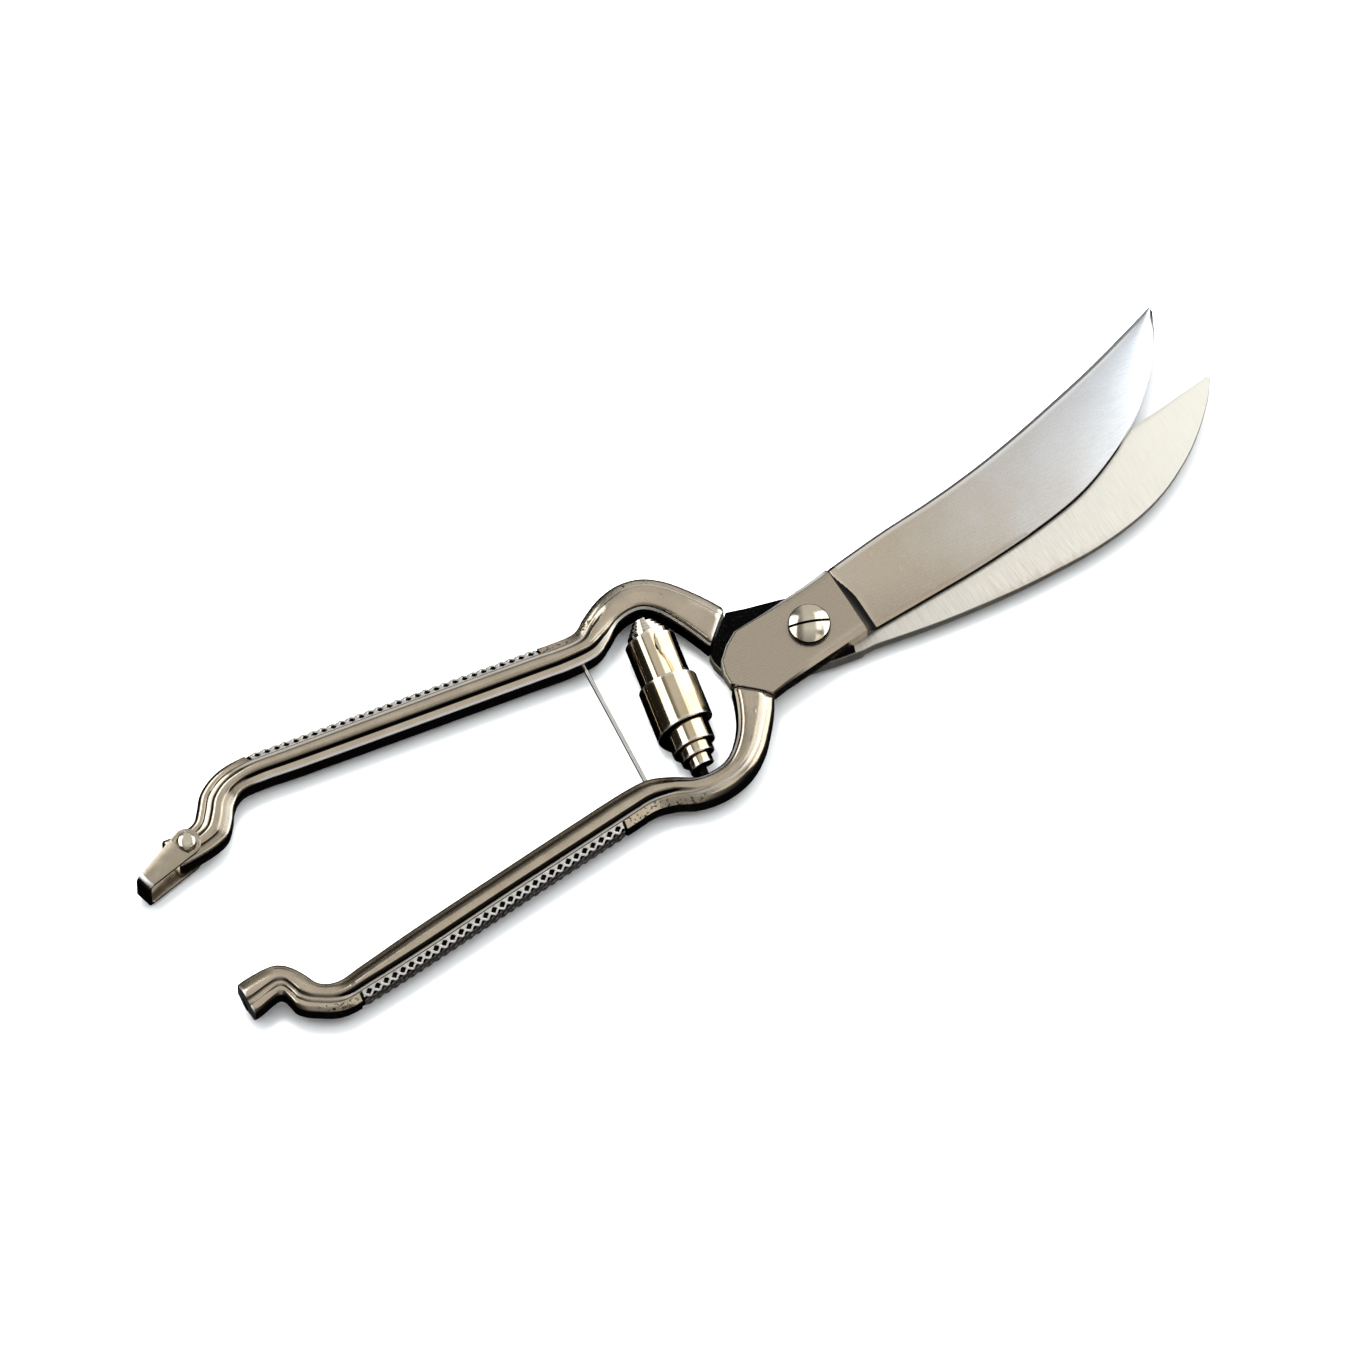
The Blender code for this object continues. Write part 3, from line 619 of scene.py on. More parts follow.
def bar_top(width, neck, hook, flange):
    """The top of a section across a handle, from its inner wall to its outer facet: (across, height, painted
    light).

    A raised rib runs between an inner flange and the outer facet, with a sharp groove on both sides, painted
    shade on the grooves' walls and a painted highlight on the ridge beside the outer one. Towards the pivot
    (neck = 1) the rib widens into a flat with painted highlights on its rim and chamfer and painted shade on
    its inner wall, and past the knurl (hook = 1) the handle is nearly round. flange is the flange's (fall,
    painted light on its rim, depth of its groove from 0 to 1).
    """
    fall, rim, grooved = flange
    rib = (
        (0.0, 1.90, 0.0),
        (0.08, 2.86 - 1.6 * fall, rim),
        (0.26, 2.86 - fall, rim),
        (1.00, 2.86 - 0.45 * fall, 0.0),
        *(between(smooth, deep, grooved) for smooth, deep in RIB_SHOULDER),
        (2.85, 4.16, 0.0),
        (0.5 * width - 0.25, 4.29, 0.0),
        (width - 3.55, 4.25, 0.0),
        (width - 3.16, 4.08, 0.1),
        (width - 2.92, 3.76, 0.8),
        (width - 2.87, 3.30, 1.0),
        (width - 2.85, 2.92, 1.0),
        (width - 2.62, 2.92, 0.8),
        (width - 2.50, 3.00, -0.4),
        (width - 1.98, 2.98, -0.4),
        (width - 1.90, 2.90, 0.7),
        (width - 1.80, 2.86, 0.5),
    )
    flat = (
        (0.0, 1.60, 1.0),
        (0.12, 2.25, 1.0),
        (0.50, 2.74, 1.0),
        (0.58, 2.82, -1.0),
        (1.00, 3.16, -1.0),
        (1.06, 3.20, 0.9),
        (1.18, 3.30, 0.9),
        (1.26, 3.54, 0.2),
        (1.50, 3.70, 0.0),
        (1.90, 3.80, 0.0),
        (2.60, 3.88, 0.0),
        (0.45 * width, 3.96, 0.0),
        (0.55 * width, 4.02, 0.0),
        (width - 3.60, 4.05, 0.0),
        (width - 3.35, 4.03, 0.0),
        (width - 3.10, 3.98, 0.0),
        (width - 2.80, 3.93, 0.0),
        (width - 2.50, 3.86, 0.0),
        (width - 2.34, 3.80, 0.2),
        (width - 2.22, 3.75, 0.35),
        (width - 2.08, 3.68, -1.0),
        (width - 1.80, 3.51, -1.0),
    )
    top = [between(plain, wide, neck) for plain, wide in zip(rib, flat)]
    rounded = []
    for number in range(len(top)):
        across = (width - FACET_INSET - 0.06) * number / (len(top) - 1)
        off_middle = (across / width - 0.42) / 0.46
        rounded.append((across, 1.5 + 2.75 * math.sqrt(1 - off_middle**2), 0.0))
    return [between(barred, plain, 0.6 * hook) for barred, plain in zip(top, rounded)]


def outer_side(facet_top, bulge):
    """Points around the outer side: (inset from the outline, height, way in, length from the facet's top).

    Between the top and the upright side it is a flat facet, or round where there is a bulge.
    """
    corner = (0.0, SIDE_HALF)
    start = (FACET_INSET, facet_top)
    slope = math.dist(start, corner)
    lean = (facet_top - SIDE_HALF) / slope, FACET_INSET / slope  # the facet's outward normal
    points = []
    facet_steps = 13
    for step in range(facet_steps):
        inset, height = between(start, corner, step / facet_steps)
        out = bulge * math.sin(math.pi * step / facet_steps)
        points.append((inset - out * lean[0], height + out * lean[1], lean, slope * step / facet_steps))
    side_steps = 20
    for step in range(side_steps + 1):
        down = 2 * SIDE_HALF * step / side_steps
        points.append((0.0, SIDE_HALF - down, (1.0, 0.0), slope + down))
    for inset, height, (out, up), length in reversed(points[:facet_steps]):
        points.append((inset, -height, (out, -up), 2 * slope + 2 * SIDE_HALF - length))
    return points, slope


def pit_depth(distance, around, slope):
    """How deep the knurl's diamond pits are, 0 to 1, at lengths along it and around the outer side."""
    middle = slope + SIDE_HALF
    near = SIDE_HALF - 0.1
    far = SIDE_HALF + 0.57 * slope
    rows = (middle - far, middle - near, middle, middle + near, middle + far)
    deepest = 0.0
    for number, row in enumerate(rows):
        phase = distance / KNURL_PITCH + 0.5 * (number % 2)
        off_centre = abs(phase - round(phase)) * KNURL_PITCH
        inside = 1 - off_centre / KNURL_PIT[0] - abs(around - row) / KNURL_PIT[1]
        deepest = max(deepest, inside)
    return min(3.2 * deepest, 1.0)


def ring_places(lengths, stations, knurl):
    """Lengths at which a handle's rings are made: closer together over its knurl."""
    start, end = sorted(length_at_x(stations, lengths, x) for x in knurl)
    pits = round((end - start) / KNURL_PITCH)
    end = start + pits * KNURL_PITCH
    fine = KNURL_PITCH / 16
    places = []
    place = 0.0
    while place < lengths[-1]:
        places.append(place)
        place += fine if start - 1.5 < place < end + 1.5 else RING_STEP
    places.append(lengths[-1])
    return places, start, end


def length_at_x(stations, lengths, x):
    """Length along the middle line where it first passes X."""
    for station, length in zip(stations, lengths):
        if between(*station, 0.5)[0] < x:
            return length
    return lengths[-1]


def handle(name, stations, knurl, flange, end_rounding, end_light):
    """A forged handle swept along its outline, with a knurled stretch on its outer side.

    end_rounding is the radius of the free end's rim and end_light the painted light on that rim: a highlight
    below 0, shade above.
    """
    dense = curve_through(stations, 24)
    lengths = lengths_along(dense)
    places, knurl_start, knurl_end = ring_places(lengths, dense, knurl)
    total = lengths[-1]
    rings = []
    marks = []
    bar = 0.26  # half the width of the groove at each end of the knurl
    for place, (inner, outer) in zip(places, spaced(dense, places)):
        width = math.dist(inner, outer)
        neck = 1 - blended(NECK_LENGTH, NECK_LENGTH + NECK_BLEND, place)
        thinned = 1 - blended(*HANDLE_THINNING, total - place)
        half = HANDLE_HALF + (HANDLE_END_HALF - HANDLE_HALF) * thinned
        tall = half / HANDLE_HALF
        near_end = max(0.0, 1 - min(place / NECK_ROUNDING, (total - place) / end_rounding))
        shrink = 1 - math.sqrt(max(1 - near_end**2, 0.0))
        hook = blended(*HOOK_START, place - knurl_end)
        top = bar_top(width, neck, hook, flange)
        side, slope = outer_side(FACET_TOP + 0.57 * neck + 0.25 * hook, 0.3 * neck + 0.4 * hook)
        points = list(top)
        to_bar = min(abs(place - knurl_start + 0.7), abs(place - knurl_end - 0.7))
        for inset, height, (out, up), around in side:
            pit = 0.0
            painted_light = 0.0
            # Painted shade in the knurl's pits and in the grooves at its ends, and a painted highlight on its
            # ridges.
            if knurl_start - 0.4 < place < knurl_end + 0.4:
                pit = pit_depth(place - knurl_start - 0.5 * KNURL_PITCH, around, slope)
                painted_light = min(3 * pit, 1.0) if pit else -1.0
            elif to_bar < bar and 0.12 < around < 2 * (slope + SIDE_HALF) - 0.12:
                pit = painted_light = 1.0
            depth = KNURL_DEPTH * pit
            points.append((width - inset - depth * out, height - depth * up, painted_light))
        points += [(across, -height, painted_light) for across, height, painted_light in reversed(top)]
        inward = 0.3 if place < total / 2 else 0.5 * end_rounding
        spread = 1 - inward * shrink * 2 / width
        # Painted highlight on the rim next to the pivot, and painted light on the free end's rim.
        painted_edge = (end_light if place > total / 2 else -0.9) * blended(0.05, 0.5, near_end)
        ring = []
        for across, height, painted_light in points:
            moved = 0.5 + (across / width - 0.5) * spread
            level = JOINT_PLANE + height * tall * (1 - inward * shrink / half)
            ring.append((*between(inner, outer, moved), level))
        rings.append(ring)
        marks.append([(place, across / width, painted_light or painted_edge) for across, height, painted_light in points])
    return finished(name, loft(rings, marks), [HANDLE_FINISH], 38.0)


def front_handle():
    # Painted shade on the flange's rim, no groove, and a painted highlight on the free end's rim.
    piece = handle("Front_Handle", FRONT_HANDLE, FRONT_KNURL, (0.42, 0.35, 0.0), 0.3, -0.9)
    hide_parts("front_handle")
    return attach(piece, "front_half")


def rear_handle():
    # A painted highlight on the flange's rim, painted shade in its groove and on the free end's rim.
    piece = handle("Rear_Handle", REAR_HANDLE, REAR_KNURL, (0.16, -0.8, 1.0), 0.6, 0.7)
    bored(piece, *RIVET, RIVET_RADIUS + GAP, 0, 2 * JOINT_PLANE, 32)
    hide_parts("rear_handle")
    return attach(piece, "rear_half")


# ---- Blades


def plate_ring(inner, outer, side, shape):
    """A ring around a blade or the flat around the pivot, from its back (inner) to its edge (outer).

    shape gives the back's wall height and bevel width, the face's height at both ends, how far it bulges, and
    the edge's bevel width and height.
    """
    width = math.dist(inner, outer)
    wall, bevel, back_height, edge_side_height, bulge, edge_bevel, edge_height = shape
    points = [(0.0, FACE_GAP + 0.12), (0.0, wall - 0.12), (0.10, wall)]
    points += [(bevel * step / 3, wall + (back_height - wall) * step / 3) for step in (1, 2)]
    for step in range(FACE_STEPS + 1):
        share = step / FACE_STEPS
        height = back_height + (edge_side_height - back_height) * share + bulge * 4 * share * (1 - share)
        points.append((bevel + (width - edge_bevel - bevel) * share, height))
    points.append((width - 0.5 * edge_bevel, 0.5 * (edge_side_height + edge_height)))
    points.append((width, edge_height))
    points.append((width, FACE_GAP + 0.05))
    for step in range(FACE_STEPS + 1):
        share = step / FACE_STEPS
        points.append((width - 0.12 - (width - 0.24) * share, FACE_GAP))
    ring = []
    for across, height in points:
        ring.append((*between(inner, outer, across / width), JOINT_PLANE + side * height))
    return ring, [across for across, height in points]


def blade_shape(width, share):
    """Section of a blade, share 0 at its shoulder and 1 at its tip."""
    thickness = SPINE_THICKNESS + (TIP_THICKNESS - SPINE_THICKNESS) * share
    bevel = min(BACK_BEVEL, 0.2 * width)
    edge_bevel = min(EDGE_BEVEL, 0.2 * width)
    edge_side = EDGE_THICKNESS + 0.35
    return (BACK_WALL * thickness, bevel, thickness, edge_side, 0.25, edge_bevel, EDGE_THICKNESS)


def ricasso_shape(share, back_bevels, edge_bevels):
    """Section of the flat around the pivot, share 0 at the handle and 1 at the shoulder."""
    top = RICASSO_THICKNESS
    back = back_bevels[0] + (back_bevels[1] - back_bevels[0]) * blended(0.45, 1.0, share)
    edge = edge_bevels[0] + (edge_bevels[1] - edge_bevels[0]) * blended(0.0, 0.5, share)
    return (top - 0.35, back, top, top, 0.0, edge, top - 0.2 - 0.35 * edge / edge_bevels[1])


def plate(name, neck, ricasso, blade, side, materials, back_bevels, edge_bevels):
    """A blade with the flat around the pivot, from its joint with the neck on.

    A concave shoulder leads from the flat down to the blade, with painted shade in its fillet, and the back's
    bevel around the pivot carries a painted highlight.
    """
    rings = []
    marks = []
    corners = [neck, *ricasso]
    reach = lengths_along(corners)
    for near, far, start, end in zip(corners, corners[1:], reach, reach[1:]):
        for step in range(4):
            station = tuple(between(a, b, step / 4) for a, b in zip(near, far))
            share = (start + (end - start) * step / 4) / reach[-1]
            ring, breadths = plate_ring(*station, side, ricasso_shape(share, back_bevels, edge_bevels))
            rings.append(ring)
            # Painted highlight on the back's bevel.
            painted_edge = [-1.0] * (BACK_POINTS - 1) + [0.0] * (len(breadths) - BACK_POINTS + 1)
            marks.append([(share * reach[-1], breadth, edge) for breadth, edge in zip(breadths, painted_edge)])
    body = [ricasso[-1], *curve_through(blade, 10)]
    lengths = lengths_along(body)
    shoulder_steps = 16
    places = [SHOULDER_LENGTH * step / shoulder_steps for step in range(shoulder_steps + 1)]
    places += [length for length in lengths if length > SHOULDER_LENGTH + 0.3]
    flat = ricasso_shape(1.0, back_bevels, edge_bevels)
    for place, station in zip(places, spaced(body, places)):
        thin, breadths = plate_ring(*station, side, blade_shape(math.dist(*station), place / lengths[-1]))
        thick = plate_ring(*station, side, flat)[0] if place < SHOULDER_LENGTH else thin
        ring = []
        ring_marks = []
        for high, low, breadth in zip(thick, thin, breadths):
            across = min(breadth / breadths[-FACE_STEPS - 2], 1.0)
            run = place / (0.35 + (SHOULDER_LENGTH - 0.35) * blended(0.0, 0.55, across))
            drop = 1 - max(1 - run, 0.0) ** 1.9
            ring.append(between(high, low, drop))
            # Painted shade in the shoulder's fillet.
            fillet_shade = blended(0.02, 0.1, run) * (1 - blended(0.9, 1.0, run))
            ring_marks.append((reach[-1] + place, breadth, fillet_shade))
        if place >= SHOULDER_LENGTH:
            ring_marks = marked_edges(ring_marks, place / lengths[-1])
        rings.append(ring)
        marks.append(ring_marks)
    return finished(name, loft(rings, marks), materials, 25.0)


def marked_edges(ring_marks, share):
    """A blade's marks with a painted highlight on the bevel along its back and a painted shadow on the wall
    under its cutting edge.
    """
    painted_lights = [0.0] * len(ring_marks)
    for number in range(1, BACK_POINTS + 1):
        painted_lights[number] = -0.5
    edge = BACK_POINTS + FACE_STEPS + 1
    for number in range(edge, edge + 3):
        painted_lights[number] = 0.9 - 0.7 * blended(0.6, 0.8, share)
    return [(along, across, painted_light) for (along, across, old), painted_light in zip(ring_marks, painted_lights)]


def set_back(station, towards, distance):
    """A station moved towards another one, so that two pieces don't touch."""
    pairs = zip(station, towards)
    return tuple(between(point, other, distance / math.dist(point, other)) for point, other in pairs)


def front_blade():
    neck = set_back(FRONT_HANDLE[0], FRONT_RICASSO[0], GAP)
    piece = plate("Front_Blade", neck, FRONT_RICASSO, FRONT_BLADE, 1, [BLADE_FINISH], (0.55, 1.3), (0.4, 1.6))
    bored(piece, 0, 0, BORE_RADIUS, JOINT_PLANE - 1, 3 * JOINT_PLANE)
    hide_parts("front_blade")
    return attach(piece, "front_half")


def rear_blade():
    materials = [GROUND_FINISH, SHADE_FINISH]
    ricasso = opened(REAR_RICASSO)
    neck = set_back(REAR_HANDLE[0], ricasso[0], GAP)
    piece = plate("Rear_Blade", neck, ricasso, opened(REAR_BLADE), -1, materials, (0.5, 1.0), (0.5, 1.0))
    bored(piece, 0, 0, BORE_RADIUS, 0, 2 * JOINT_PLANE)
    bored(piece, 0, 0, NUT_RECESS_RADIUS, 0, NUT_RECESS_TOP)
    # Painted shade: the inner face of the lap around the pivot, in the shade between the halves, gets the
    # near-black finish.
    inner_face = (JOINT_PLANE - FACE_GAP - 0.05) * MM
    for face in piece.data.polygons:
        x, y = turned(face.center.xy, OPENING)
        if x < 7.5 * MM and face.center.z > inner_face:
            face.material_index = 1
    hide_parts("rear_blade")
    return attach(piece, "rear_half")


# ---- Springs and wire


def wound(turns, step_from):
    """How many coils inwards a strip has come: the first coil stays outermost until step_from."""
    if turns >= 1:
        return turns
    ramp = max(turns - step_from, 0.0) / (1 - step_from)
    return ramp * ramp * (3 - 2 * ramp)


def volute(name, held_at, reach, outer_radius, turns, strip_width, coil_step, step_from, cut_end):
    """A volute: one strip rolled so that each inner coil stands further out of the one around it.

    Its smallest coil is on the stud at held_at and its widest coil starts at reach from there. cut_end gives
    the strip's outer end: its angle in degrees, how much narrower it is, and how far it waves in degrees.
    """
    outer_middle = outer_radius - STRIP_THICKNESS / 2
    inner_middle = INNER_COIL_RADIUS - STRIP_THICKNESS / 2
    start_angle, narrower, wave = cut_end
    per_turn = 72
    levels = 12
    half = STRIP_THICKNESS / 2
    rings = []
    marks = []
    for step in range(turns * per_turn + 1):
        turn = step / per_turn
        coils_in = wound(turn, step_from)
        radius = outer_middle + (inner_middle - outer_middle) * coils_in / turns
        low = coil_step * coils_in
        width = strip_width - narrower * (1 - blended(0.0, 0.9, turn))
        fade = max(0.0, 1 - turn / 0.2)
        section = [(half - 0.1, low), (half, low + 0.1)]
        section += [(half, low + width * level / levels) for level in range(1, levels)]
        section += [(half, low + width - 0.1), (half - 0.1, low + width)]
        section += [(-offset, height) for offset, height in reversed(section)]
        ring = []
        ring_marks = []
        for offset, height in section:
            up = (height - low) / width
            angle = 2 * math.pi * turn + math.radians(start_angle + wave * fade * math.sin(2 * math.pi * up))
            ring.append(((radius + offset) * math.cos(angle), (radius + offset) * math.sin(angle), height))
            # Painted highlight along the strip's outer edges.
            on_edge = offset > 0 and min(up, 1 - up) * width < 0.15
            ring_marks.append((2 * math.pi * outer_radius * turn, height, -0.6 if on_edge else 0.0))
        rings.append(ring)
        marks.append(ring_marks)
    solid = loft(rings, marks)
    far_end = SPRING_TOP if held_at == SPRING_BOTTOM else SPRING_BOTTOM
    base = between(held_at, far_end, reach / math.dist(held_at, far_end))
    laid_along(solid, (*base, JOINT_PLANE), Vector((*held_at, 0)) - Vector((*far_end, 0)))
    return finished(name, solid, [SPRING_FINISH], 40.0)


def stretch(piece):
    """A piece held by both halves: its place is baked into its mesh, and it is attached to neither half."""
    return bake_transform(piece)


def springs():
    lower = volute(
        "Lower_Volute",
        held_at=SPRING_BOTTOM,
        reach=21.8,
        outer_radius=6.5,
        turns=4,
        strip_width=12.0,
        coil_step=2.45,
        step_from=0.75,
        cut_end=(-100, 2.5, 0),
    )
    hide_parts("lower_volute_spring")
    upper = volute(
        "Upper_Volute",
        held_at=SPRING_TOP,
        reach=16.5,
        outer_radius=5.5,
        turns=5,
        strip_width=11.8,
        coil_step=0.94,
        step_from=0.88,
        cut_end=(-88, 0.5, 9),
    )
    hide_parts("upper_volute_spring")
    for piece in (lower, upper):
        stretch(piece)


def limiter_wire():
    length = math.dist(WIRE_BOTTOM, WIRE_TOP) + 2 * WIRE_END
    steps = 60
    side = [(WIRE_RADIUS, length * step / steps) for step in range(steps + 1)]
    solid = turned_profile([(0, 0), *side, (0, length)], 20)
    bottom = Vector((*WIRE_BOTTOM, JOINT_PLANE))
    heading = (Vector((*WIRE_TOP, JOINT_PLANE)) - bottom).normalized()
    laid_along(solid, bottom - heading * WIRE_END, heading)
    piece = finished("Limiter_Wire", solid, [WIRE_FINISH])
    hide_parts("limiter_wire")
    stretch(piece)


# ---- Fittings


def pivot_screw():
    """A slotted screw with a domed head and a rounded rim."""
    under_head = JOINT_PLANE + RICASSO_THICKNESS + GAP
    crown = under_head + SCREW_HEAD_HEIGHT
    shank_end = 1.5
    rim = 0.45
    profile = [(0, shank_end), (SHANK_RADIUS - 0.3, shank_end), (SHANK_RADIUS, shank_end + 0.3)]
    profile += [(SHANK_RADIUS, under_head), (SCREW_HEAD_RADIUS - 0.1, under_head)]
    profile += [(SCREW_HEAD_RADIUS, under_head + 0.1), (SCREW_HEAD_RADIUS, under_head + SCREW_RIM_HEIGHT)]
    rim_steps = 5
    for step in range(1, rim_steps + 1):
        angle = math.radians(60 * step / rim_steps)
        rim_radius = SCREW_HEAD_RADIUS - rim + rim * math.cos(angle)
        rim_height = under_head + SCREW_RIM_HEIGHT + rim * math.sin(angle)
        profile.append((rim_radius, rim_height))
    steps = 14
    for step in range(1, steps):
        share = step / steps
        profile.append((rim_radius * (1 - share), rim_height + (crown - rim_height) * (1 - (1 - share) ** 2)))
    profile.append((0, crown))
    piece = finished("Pivot_Screw", turned_profile(profile, 96), [SCREW_FINISH, SHADE_FINISH])
    slot = bmesh.new()
    heading = Matrix.Rotation(math.radians(SCREW_SLOT_HEADING), 4, "Z")
    size = Matrix.Diagonal((3 * SCREW_HEAD_RADIUS, SCREW_SLOT_WIDTH, 2 * SCREW_SLOT_DEPTH, 1))
    bmesh.ops.create_cube(slot, size=1.0, matrix=Matrix.Translation((0, 0, crown)) @ heading @ size)
    cut(piece, slot)
    piece.data.set_sharp_from_angle(angle=math.radians(30))
    # Painted shade in the slot and a painted shadow on the outer rim of the head: both get the near-black
    # finish.
    for face in piece.data.polygons:
        x, y = turned(face.center.xy, -SCREW_SLOT_HEADING)
        in_slot = abs(y) < 0.51 * SCREW_SLOT_WIDTH * MM and face.center.z < (crown - 0.1) * MM
        in_slot = in_slot and face.center.z > (under_head + 0.1) * MM
        on_rim = math.hypot(x, y) > (SCREW_HEAD_RADIUS - 0.45 * rim) * MM
        if in_slot or on_rim:
            face.material_index = 1
    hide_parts("pivot_screw")
    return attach(piece, "front_half")


def catch_rivet():
    """A rivet with a low round head over each plate of the strap."""
    under_head = STRAP_INSIDE / 2 + STRAP_THICKNESS + GAP
    upper = [(RIVET_RADIUS, under_head), (RIVET_HEAD_RADIUS - 0.1, under_head)]
    upper += [(RIVET_HEAD_RADIUS, under_head + 0.1), (RIVET_HEAD_RADIUS, under_head + 0.3)]
    steps = 10
    for step in range(1, steps):
        angle = 0.5 * math.pi * step / steps
        height = under_head + 0.3 + (RIVET_HEAD_HEIGHT - 0.3) * math.sin(angle)
        upper.append((RIVET_HEAD_RADIUS * math.cos(angle), height))
    upper.append((0, under_head + RIVET_HEAD_HEIGHT))
    profile = [(radius, -height) for radius, height in reversed(upper)] + upper
    solid = turned_profile(profile, 48)
    bmesh.ops.translate(solid, vec=(*RIVET, JOINT_PLANE), verts=solid.verts)
    piece = finished("Catch_Rivet", solid, [SCREW_FINISH])
    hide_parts("catch_rivet")
    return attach(piece, "rear_half")


def catch_strap():
    """A strip bent into a U, whose two ends are round eyes on the rivet."""
    half = (STRAP_INSIDE + STRAP_THICKNESS) / 2
    middle = STRAP_REACH + STRAP_THICKNESS / 2
    bend = 1.3
    path = []
    eye_steps = 16
    for step in range(eye_steps + 1):
        angle = math.radians(4 + 86 * step / eye_steps)
        reach = -STRAP_EYE_RADIUS * math.cos(angle)
        path.append(((reach, half), (0, 1), 2 * STRAP_EYE_RADIUS * math.sin(angle)))
    plate_steps = 12
    for step in range(1, plate_steps + 1):
        share = step / plate_steps
        width = 2 * STRAP_EYE_RADIUS + (STRAP_BAR_WIDTH - 2 * STRAP_EYE_RADIUS) * share
        path.append((((middle - bend) * share, half), (0, 1), width))
    bend_steps = 8
    bend_start = len(path)
    for step in range(1, bend_steps + 1):
        angle = math.radians(90 - 90 * step / bend_steps)
        outward = (math.cos(angle), math.sin(angle))
        centre = (middle - bend + bend * outward[0], half - bend + bend * outward[1])
        path.append((centre, outward, STRAP_BAR_WIDTH))
    path += [((reach, -height), (out, -up), width) for (reach, height), (out, up), width in reversed(path)]
    corner = 0.14
    deep = STRAP_THICKNESS / 2
    rings = []
    marks = []
    for number, ((reach, height), (out, up), width) in enumerate(path):
        # Painted highlight at the start of each bend.
        painted_edge = -0.9 if bend_start <= number <= bend_start + 2 else 0.0
        side = width / 2
        soft = min(corner, 0.3 * side)
        outline = []
        for right, front in ((-1, -1), (-1, 1), (1, 1), (1, -1)):
            rounded = []
            for inset, sink in ((soft, 0), (0.3 * soft, 0.3 * soft), (0, soft)):
                rounded.append((right * (side - inset), front * (deep - sink)))
            outline += rounded if right == front else reversed(rounded)
        ring = []
        for across, depth in outline:
            ring.append((reach + out * depth, across, height + up * depth + JOINT_PLANE))
        rings.append(ring)
        marks.append([(reach, across, painted_edge) for across, depth in outline])
    solid = loft(rings, marks)
    heading = Matrix.Rotation(math.radians(STRAP_HEADING), 4, "Z")
    place = Matrix.Translation((*RIVET, 0))
    bmesh.ops.transform(solid, matrix=place @ heading, verts=solid.verts)
    piece = finished("Catch_Strap", solid, [STRAP_FINISH])
    bored(piece, *RIVET, RIVET_RADIUS + GAP, 0, 2 * JOINT_PLANE, 32)
    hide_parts("catch_strap")
    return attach(piece, "catch")


def carried_over():
    """The nut and the studs keep their CAD shape; the studs inside the springs' ends get the near-black
    painted shade.
    """
    finishes = {
        "pivot_nut": FITTING_FINISH,
        "lower_spring_stud": SHADE_FINISH,
        "upper_spring_stud": SHADE_FINISH,
    }
    for name, finish in finishes.items():
        node = frame["nodes"][name]
        node.data.materials.clear()
        node.data.materials.append(finish)


# ---- Studio

VIEW_HEADING = math.radians(30)  # how far the shears are turned in the picture
VIEW_TILT = math.radians(23)  # from straight down
VIEW_DISTANCE = 5.0
VIEW_CENTRE = Vector((-0.0288, 0.0032, JOINT_PLANE * MM))
VIEW_WIDTH = 0.290

RIGHT = Vector((math.cos(VIEW_HEADING), -math.sin(VIEW_HEADING), 0))
AWAY = Vector((math.sin(VIEW_HEADING), math.cos(VIEW_HEADING), 0))
UP = Vector((0, 0, 1))


def looking(thing, position, direction, upward):
    """Place a camera or a light so that it faces a direction."""
    backward = -direction.normalized()
    across = upward.cross(backward).normalized()
    matrix = Matrix((across, backward.cross(across), backward)).transposed().to_4x4()
    matrix.translation = position
    thing.matrix_world = matrix


def camera():
    data = bpy.data.cameras.new("Camera")
    data.sensor_width = 36
    data.lens = data.sensor_width * VIEW_DISTANCE / VIEW_WIDTH
    data.clip_end = 2 * VIEW_DISTANCE
    thing = bpy.data.objects.new("Camera", data)
    bpy.context.scene.collection.objects.link(thing)
    direction = AWAY * math.sin(VIEW_TILT) - UP * math.cos(VIEW_TILT)
    looking(thing, VIEW_CENTRE - direction * VIEW_DISTANCE, direction, AWAY)
    bpy.context.scene.camera = thing


def softbox(name, place, size, radiance, colour, mirrored=True):
    """An area light facing the shears; place is (right, away, up) in metres."""
    data = bpy.data.lights.new(name, "AREA")
    data.shape = "RECTANGLE"
    data.size, data.size_y = size
    data.color = colour
    data.energy = radiance * math.pi * size[0] * size[1]
    thing = bpy.data.objects.new(name, data)
    thing.visible_glossy = mirrored
    bpy.context.scene.collection.objects.link(thing)
    position = RIGHT * place[0] + AWAY * place[1] + UP * place[2]
    looking(thing, position, -position, AWAY)


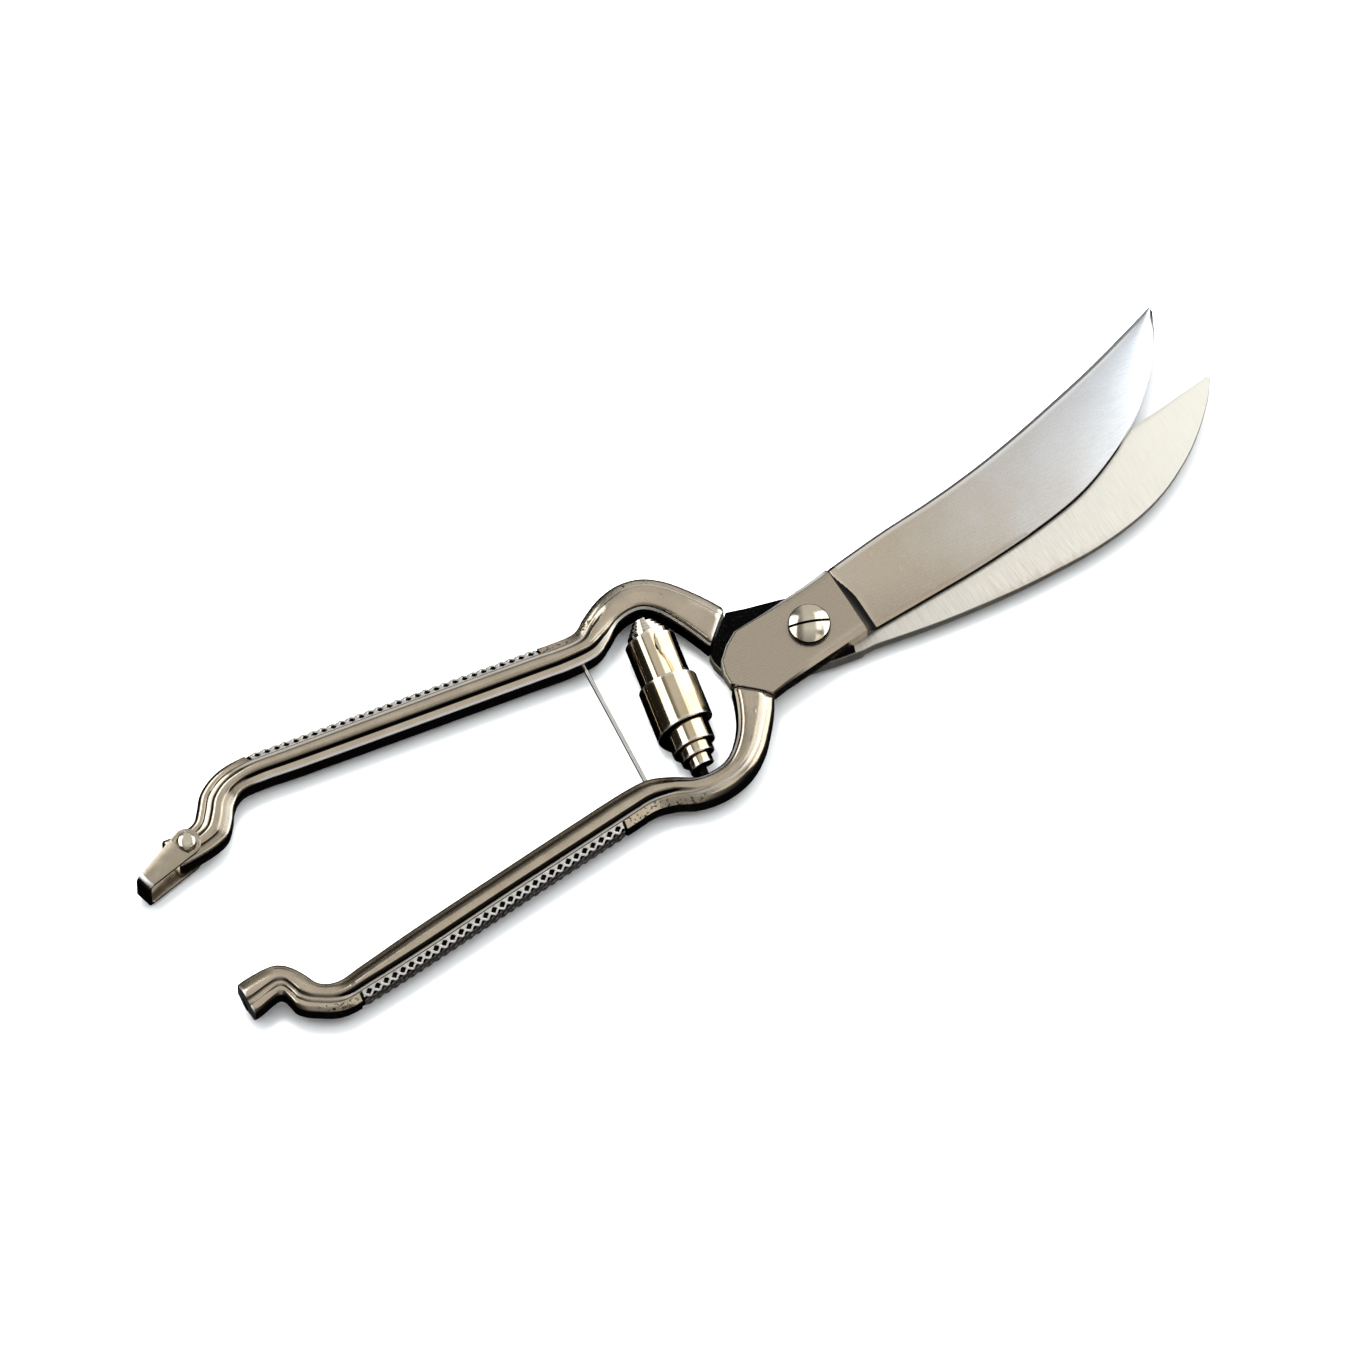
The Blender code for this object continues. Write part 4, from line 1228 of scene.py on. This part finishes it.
def surroundings():
    """A warm grey room: dim low down and behind the camera, and dark below for the metal to mirror."""
    nodes = Nodes(bpy.data.worlds.new("Studio"), "Background")
    bpy.context.scene.world = nodes.owner
    direction = nodes.add("ShaderNodeTexCoord").outputs["Generated"]

    def graded(axis, stops):
        """Radiance from how far a direction leans towards an axis: -1 to 1."""
        lean = nodes.add("ShaderNodeVectorMath", {0: direction, 1: axis}, operation="DOT_PRODUCT")
        ramp = nodes.add("ShaderNodeValToRGB", {0: nodes.ranged(lean.outputs["Value"], -1.0, 1.0)})
        elements = ramp.color_ramp.elements
        while len(elements) < len(stops):
            elements.new(0.5)
        for element, (position, colour) in zip(elements, stops):
            element.position = (position + 1) / 2
            element.color = (*colour, 1)
        return ramp.outputs[0]

    heights = (
        (-0.55, (0.003, 0.003, 0.004)),
        (-0.35, (0.06, 0.06, 0.06)),
        (-0.05, (0.25, 0.25, 0.25)),
        (0.10, (0.55, 0.545, 0.53)),
        (0.70, (0.57, 0.565, 0.55)),
        (0.92, (0.60, 0.595, 0.58)),
        (1.0, (0.64, 0.635, 0.62)),
    )
    depths = ((-0.6, (0.5, 0.5, 0.5)), (-0.3, (0.6, 0.6, 0.6)), (0.1, (1, 1, 1)))
    sides = (
        (-0.95, (0.03, 0.03, 0.03)),
        (-0.45, (0.20, 0.20, 0.20)),
        (-0.30, (0.45, 0.45, 0.45)),
        (-0.18, (1, 1, 1)),
        (0.30, (1, 1, 1)),
        (0.50, (0.35, 0.35, 0.35)),
        (0.90, (0.03, 0.03, 0.03)),
    )
    radiance = graded(UP, heights)
    for share in (graded(AWAY, depths), graded(RIGHT, sides)):
        product = nodes.add("ShaderNodeVectorMath", {0: radiance, 1: share}, operation="MULTIPLY")
        radiance = product.outputs[0]
    nodes.put(nodes.shader, "Color", radiance)


def floor():
    sheet = bmesh.new()
    bmesh.ops.create_grid(sheet, x_segments=1, y_segments=1, size=1500)
    thing = finished("Floor", sheet, [paper_white()])
    thing.visible_glossy = False


def studio():
    camera()
    surroundings()
    floor()
    softbox("Right_Softbox", (0.64, 0.30, 0.40), (0.74, 1.0), 1.8, (1.0, 1.0, 0.99))
    softbox("Left_Softbox", (-0.51, 0.16, 0.55), (0.36, 0.80), 2.2, (0.97, 0.99, 1.0))
    softbox("Front_Card", (0.36, -0.26, 0.66), (0.34, 0.34), 0.6, (1.0, 0.97, 0.90))
    softbox("Blade_Softbox", (0.27, 0.32, 0.60), (0.18, 0.60), 1.1, (0.88, 0.95, 1.0))
    softbox("Floor_Wash", (-0.1, 0.2, 1.0), (1.4, 1.4), 4.2, (0.93, 0.97, 1.0), mirrored=False)
    softbox("Key", (-0.16, 0.14, 0.88), (0.2, 0.2), 52.0, (1.0, 0.99, 0.97), mirrored=False)
    bpy.context.scene.view_settings.view_transform = "Standard"


# ---- Assembly

front_handle()
rear_handle()
front_blade()
rear_blade()
springs()
limiter_wire()
pivot_screw()
catch_rivet()
catch_strap()
carried_over()
studio()
